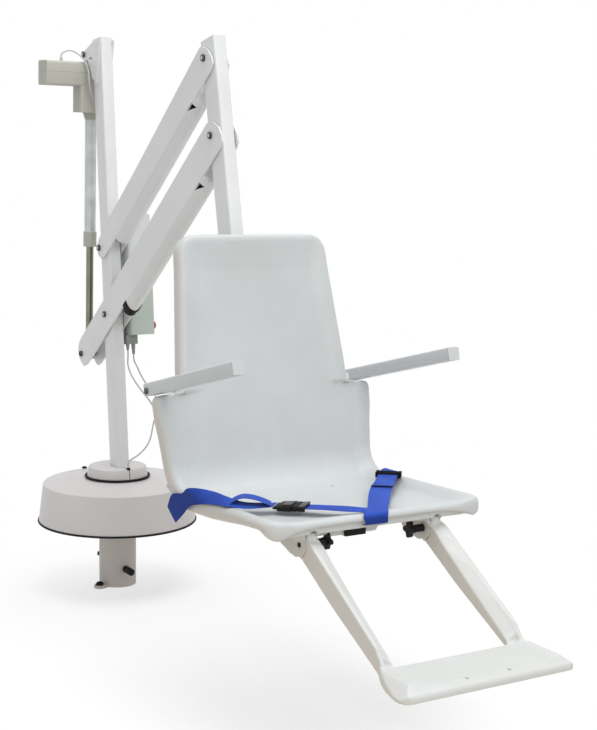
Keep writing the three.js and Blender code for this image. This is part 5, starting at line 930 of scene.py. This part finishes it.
def web(name, node, runs):
    """A strap of one or more bands, each band's faces in the material of its kind."""
    bm = bmesh.new()
    space = bm.loops.layers.uv.new("weave")
    for kind, run in runs:
        reach, faces = band(bm, space, **run)
        for face in faces:
            face.material_index = kind
    bmesh.ops.recalc_face_normals(bm, faces=bm.faces)
    mesh = bpy.data.meshes.new(name)
    bm.to_mesh(mesh)
    bm.free()
    mesh.materials.append(WEB)
    mesh.materials.append(THREAD_AND_SHADE)
    mesh.set_sharp_from_angle(angle=math.radians(WEB_CREASE))
    obj = link(bpy.data.objects.new(name, mesh))
    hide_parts(node)
    return obj


BUCKLE_WAY = (BUCKLE_TO - BUCKLE_FROM).normalized()
BUCKLE_SIDE = Vector((-0.72, -0.694, 0)) * WEB_WIDTH / 2
BUCKLE_GAP = 0.6

# Left strap: up the outside of the shell, over its rim, folded once and into the buckle
LEFT_REAR = ((-301, -966, 479), (-300.5, -988, 513), (-298, -1040, 527), (-296, -1060, 541),
             (-283, -1101, 548), (-269, -1144, 548), (-261, -1190, 545), (-236, -1222, 537),
             (-196, -1238, 533))
LEFT_FRONT = ((-301, -1011, 449), (-300.5, -1048, 476), (-299, -1080, 503), (-297, -1119, 515),
              (-293, -1160, 524), (-289, -1200, 531), (-284, -1236, 533), (-254, -1268, 532),
              (-222, -1278, 532))
FOLD_NEAR_EDGE = ((-281, -1234, 533), (-268, -1236, 543), (-252, -1248, 551), (-234, -1262, 550),
                  (-214, -1274, 543), (-198, -1283, 535))
FOLD_WAY = Vector((0.52, 0.855, 0.0))


def left_strap():
    enter = BUCKLE_FROM - BUCKLE_WAY * BUCKLE_GAP
    near_edge = [Vector(p) for p in FOLD_NEAR_EDGE]
    far_edge = [p + FOLD_WAY * WEB_WIDTH for p in near_edge]
    obj = web("belt_left", "strap_left", [
        (PLAIN, {"front": (*LEFT_FRONT, enter + BUCKLE_SIDE), "rear": (*LEFT_REAR, enter - BUCKLE_SIDE),
                 "steps": 70, "ripple": 0.6}),
        (PLAIN, {"front": near_edge, "rear": far_edge, "steps": 30})])
    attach(obj, "carrier")


# Lap: from the tongue across the seat to the right strap at the lip
LAP_FRONT = ((-118, -1362, 534), (-88, -1392, 535), (-62, -1411, 534), (-30, -1424, 531.5))
LAP_REAR = ((-88, -1322, 534), (-62, -1352, 536), (-36, -1374, 535), (-4, -1386, 531))


def lap_strap():
    begin = BUCKLE_TO + BUCKLE_WAY * BUCKLE_GAP
    obj = web("belt_lap", "strap_lap", [
        (PLAIN, {"front": (begin + BUCKLE_SIDE, *LAP_FRONT), "rear": (begin - BUCKLE_SIDE, *LAP_REAR),
                 "steps": 30, "ripple": 0.5})])
    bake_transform(obj)


# Right strap: up the outside, over the rim, through the slider, across the seat and round the lip,
# with its doubled end and the tack that holds it; the tack's dark thread also serves as painted shade at
# the doubled end
RIGHT_REAR = ((294.5, -1040, 462), (294.5, -1040, 500), (293.5, -1040, 519), (287, -1042, 530),
              (268, -1054, 534.5), (243, -1077, 535.7), (218, -1108, 536.2), (182, -1149, 535.6),
              (146, -1191, 535.4), (106, -1233, 533.4), (64, -1288, 532.4), (23, -1346, 532.2),
              (-17, -1402, 532.8), (-40, -1425, 533), (-49, -1438, 530), (-50, -1441, 524),
              (-46, -1441, 513), (-44, -1437, 507), (-44, -1428, 507))
RIGHT_FRONT = ((294.5, -1088, 462), (294.5, -1088, 500), (293.8, -1089, 518), (289, -1094, 529),
               (281, -1108, 534), (270, -1121, 535.5), (255, -1138, 536.2), (222, -1177, 535.6),
               (189, -1217, 535.4), (154, -1256, 533.4), (111, -1311, 532.4), (68, -1368, 532.2),
               (27, -1422, 532.6), (19, -1436, 531), (15, -1440.5, 525), (14.5, -1441, 519),
               (15, -1441, 511), (16, -1437, 506), (17, -1428, 506))
TAIL_REAR = ((217, -1110, 536.2), (182, -1149, 535.6), (146, -1191, 535.4), (117, -1220, 534.1))
TAIL_FRONT = ((254, -1140, 536.2), (222, -1177, 535.6), (189, -1217, 535.4), (160, -1249, 534.1))
TACK_REAR = ((120, -1217, 534.2), (114, -1223, 534.0))
TACK_FRONT = ((163, -1246, 534.2), (157, -1252, 534.0))


def right_strap():
    obj = web("belt_right", "strap_right", [
        (PLAIN, {"front": RIGHT_FRONT, "rear": RIGHT_REAR, "steps": 110, "ripple": 0.25}),
        (PLAIN, {"front": TAIL_FRONT, "rear": TAIL_REAR, "steps": 24, "lift_by": -1.9}),
        (STITCHED_AND_SHADED, {"front": TACK_FRONT, "rear": TACK_REAR, "steps": 4, "thick": 3.0, "lift_by": -3.0})])
    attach(obj, "carrier")


left_strap()
lap_strap()
right_strap()


# Floor, light and background, in metres
FLOOR_HALF = 60.0
SHADE_REACH = (0.45, 1.4)
SHADE_CENTRE = (0, -0.8, 0)
SHADOW_KEPT = 0.42
FLOOR_DARK = (0.96, 0.96, 0.96)
FLOOR_PALE = (0.98, 0.98, 0.98)
FLOOR_BOUNCE = (0.62, 0.6, 0.57)
SKY_COLOUR = (0.97, 0.985, 1.0)
SKY_STRENGTH = 0.6


def seen_directly(tree):
    """One for rays from the camera, mirrors and glass, zero for the light that falls on the object."""
    path = tree.nodes.new("ShaderNodeLightPath")
    seen = path.outputs["Is Camera Ray"]
    for ray in ("Is Glossy Ray", "Is Transmission Ray"):
        larger = tree.nodes.new("ShaderNodeMath")
        larger.operation = "MAXIMUM"
        tree.links.new(seen, larger.inputs[0])
        tree.links.new(path.outputs[ray], larger.inputs[1])
        seen = larger.outputs[0]
    return seen


def make_floor():
    """A pale floor that keeps the shadow near the object and turns white further out."""
    mesh = bpy.data.meshes.new("floor")
    corners = [(x * FLOOR_HALF, y * FLOOR_HALF, 0) for x, y in ((-1, -1), (1, -1), (1, 1), (-1, 1))]
    mesh.from_pydata(corners, [], [range(4)])
    floor = link(bpy.data.objects.new("floor", mesh))
    look = Look("floor")
    direct = seen_directly(look.tree)
    pale = look.ramp(look.noise(scale=0.6), 0.3, FLOOR_DARK, 0.7, FLOOR_PALE)
    look.surface({"Base Color": look.mix(direct, FLOOR_BOUNCE, pale), "Roughness": 0.9,
                  "Specular IOR Level": 0.1})
    away = look.node("VectorMath", operation="DISTANCE")
    away.inputs[1].default_value = SHADE_CENTRE
    look.join(look.coords.outputs["Object"], away.inputs[0])
    white = look.spread(away.outputs["Value"], 1 - SHADOW_KEPT, 1, *SHADE_REACH, kind="SMOOTHSTEP")
    glow = look.node("Emission")
    mix = look.node("MixShader")
    look.join(look.maths("MULTIPLY", white, direct), mix.inputs["Fac"])
    look.join(look.shader.outputs["BSDF"], mix.inputs[1])
    look.join(glow.outputs["Emission"], mix.inputs[2])
    look.join(mix.outputs["Shader"], look.tree.nodes["Material Output"].inputs["Surface"])
    mesh.materials.append(look.material)


def make_world():
    """White where it is seen, and a plain soft light on the object."""
    world = bpy.data.worlds.new("studio")
    bpy.context.scene.world = world
    world.use_nodes = True
    tree = world.node_tree
    tree.nodes.clear()
    mix = tree.nodes.new("ShaderNodeMixShader")
    out = tree.nodes.new("ShaderNodeOutputWorld")
    for place, colour, strength in ((1, SKY_COLOUR, SKY_STRENGTH), (2, (1, 1, 1), 1)):
        light = tree.nodes.new("ShaderNodeBackground")
        light.inputs["Color"].default_value = (*colour, 1)
        light.inputs["Strength"].default_value = strength
        tree.links.new(light.outputs[0], mix.inputs[place])
    tree.links.new(seen_directly(tree), mix.inputs["Fac"])
    tree.links.new(mix.outputs[0], out.inputs["Surface"])


LAMP_SIZE = 3.5


def lamp(name, place, aim, power, colour=(1, 1, 1)):
    data = bpy.data.lights.new(name, "AREA")
    data.shape = "RECTANGLE"
    data.size = data.size_y = LAMP_SIZE
    data.energy = power
    data.color = colour
    obj = link(bpy.data.objects.new(name, data))
    obj.location = place
    way = Vector(aim) - Vector(place)
    obj.rotation_euler = way.to_track_quat("-Z", "Y").to_euler()


make_floor()
make_world()
lamp("key", (-0.4, -7.5, 4.4), (0, -0.8, 0.8), power=150, colour=(1.0, 0.99, 0.97))
lamp("top", (0.2, -1.0, 6.2), (0, -0.9, 0.6), power=176)

scene = bpy.context.scene
scene.view_settings.view_transform = "Standard"
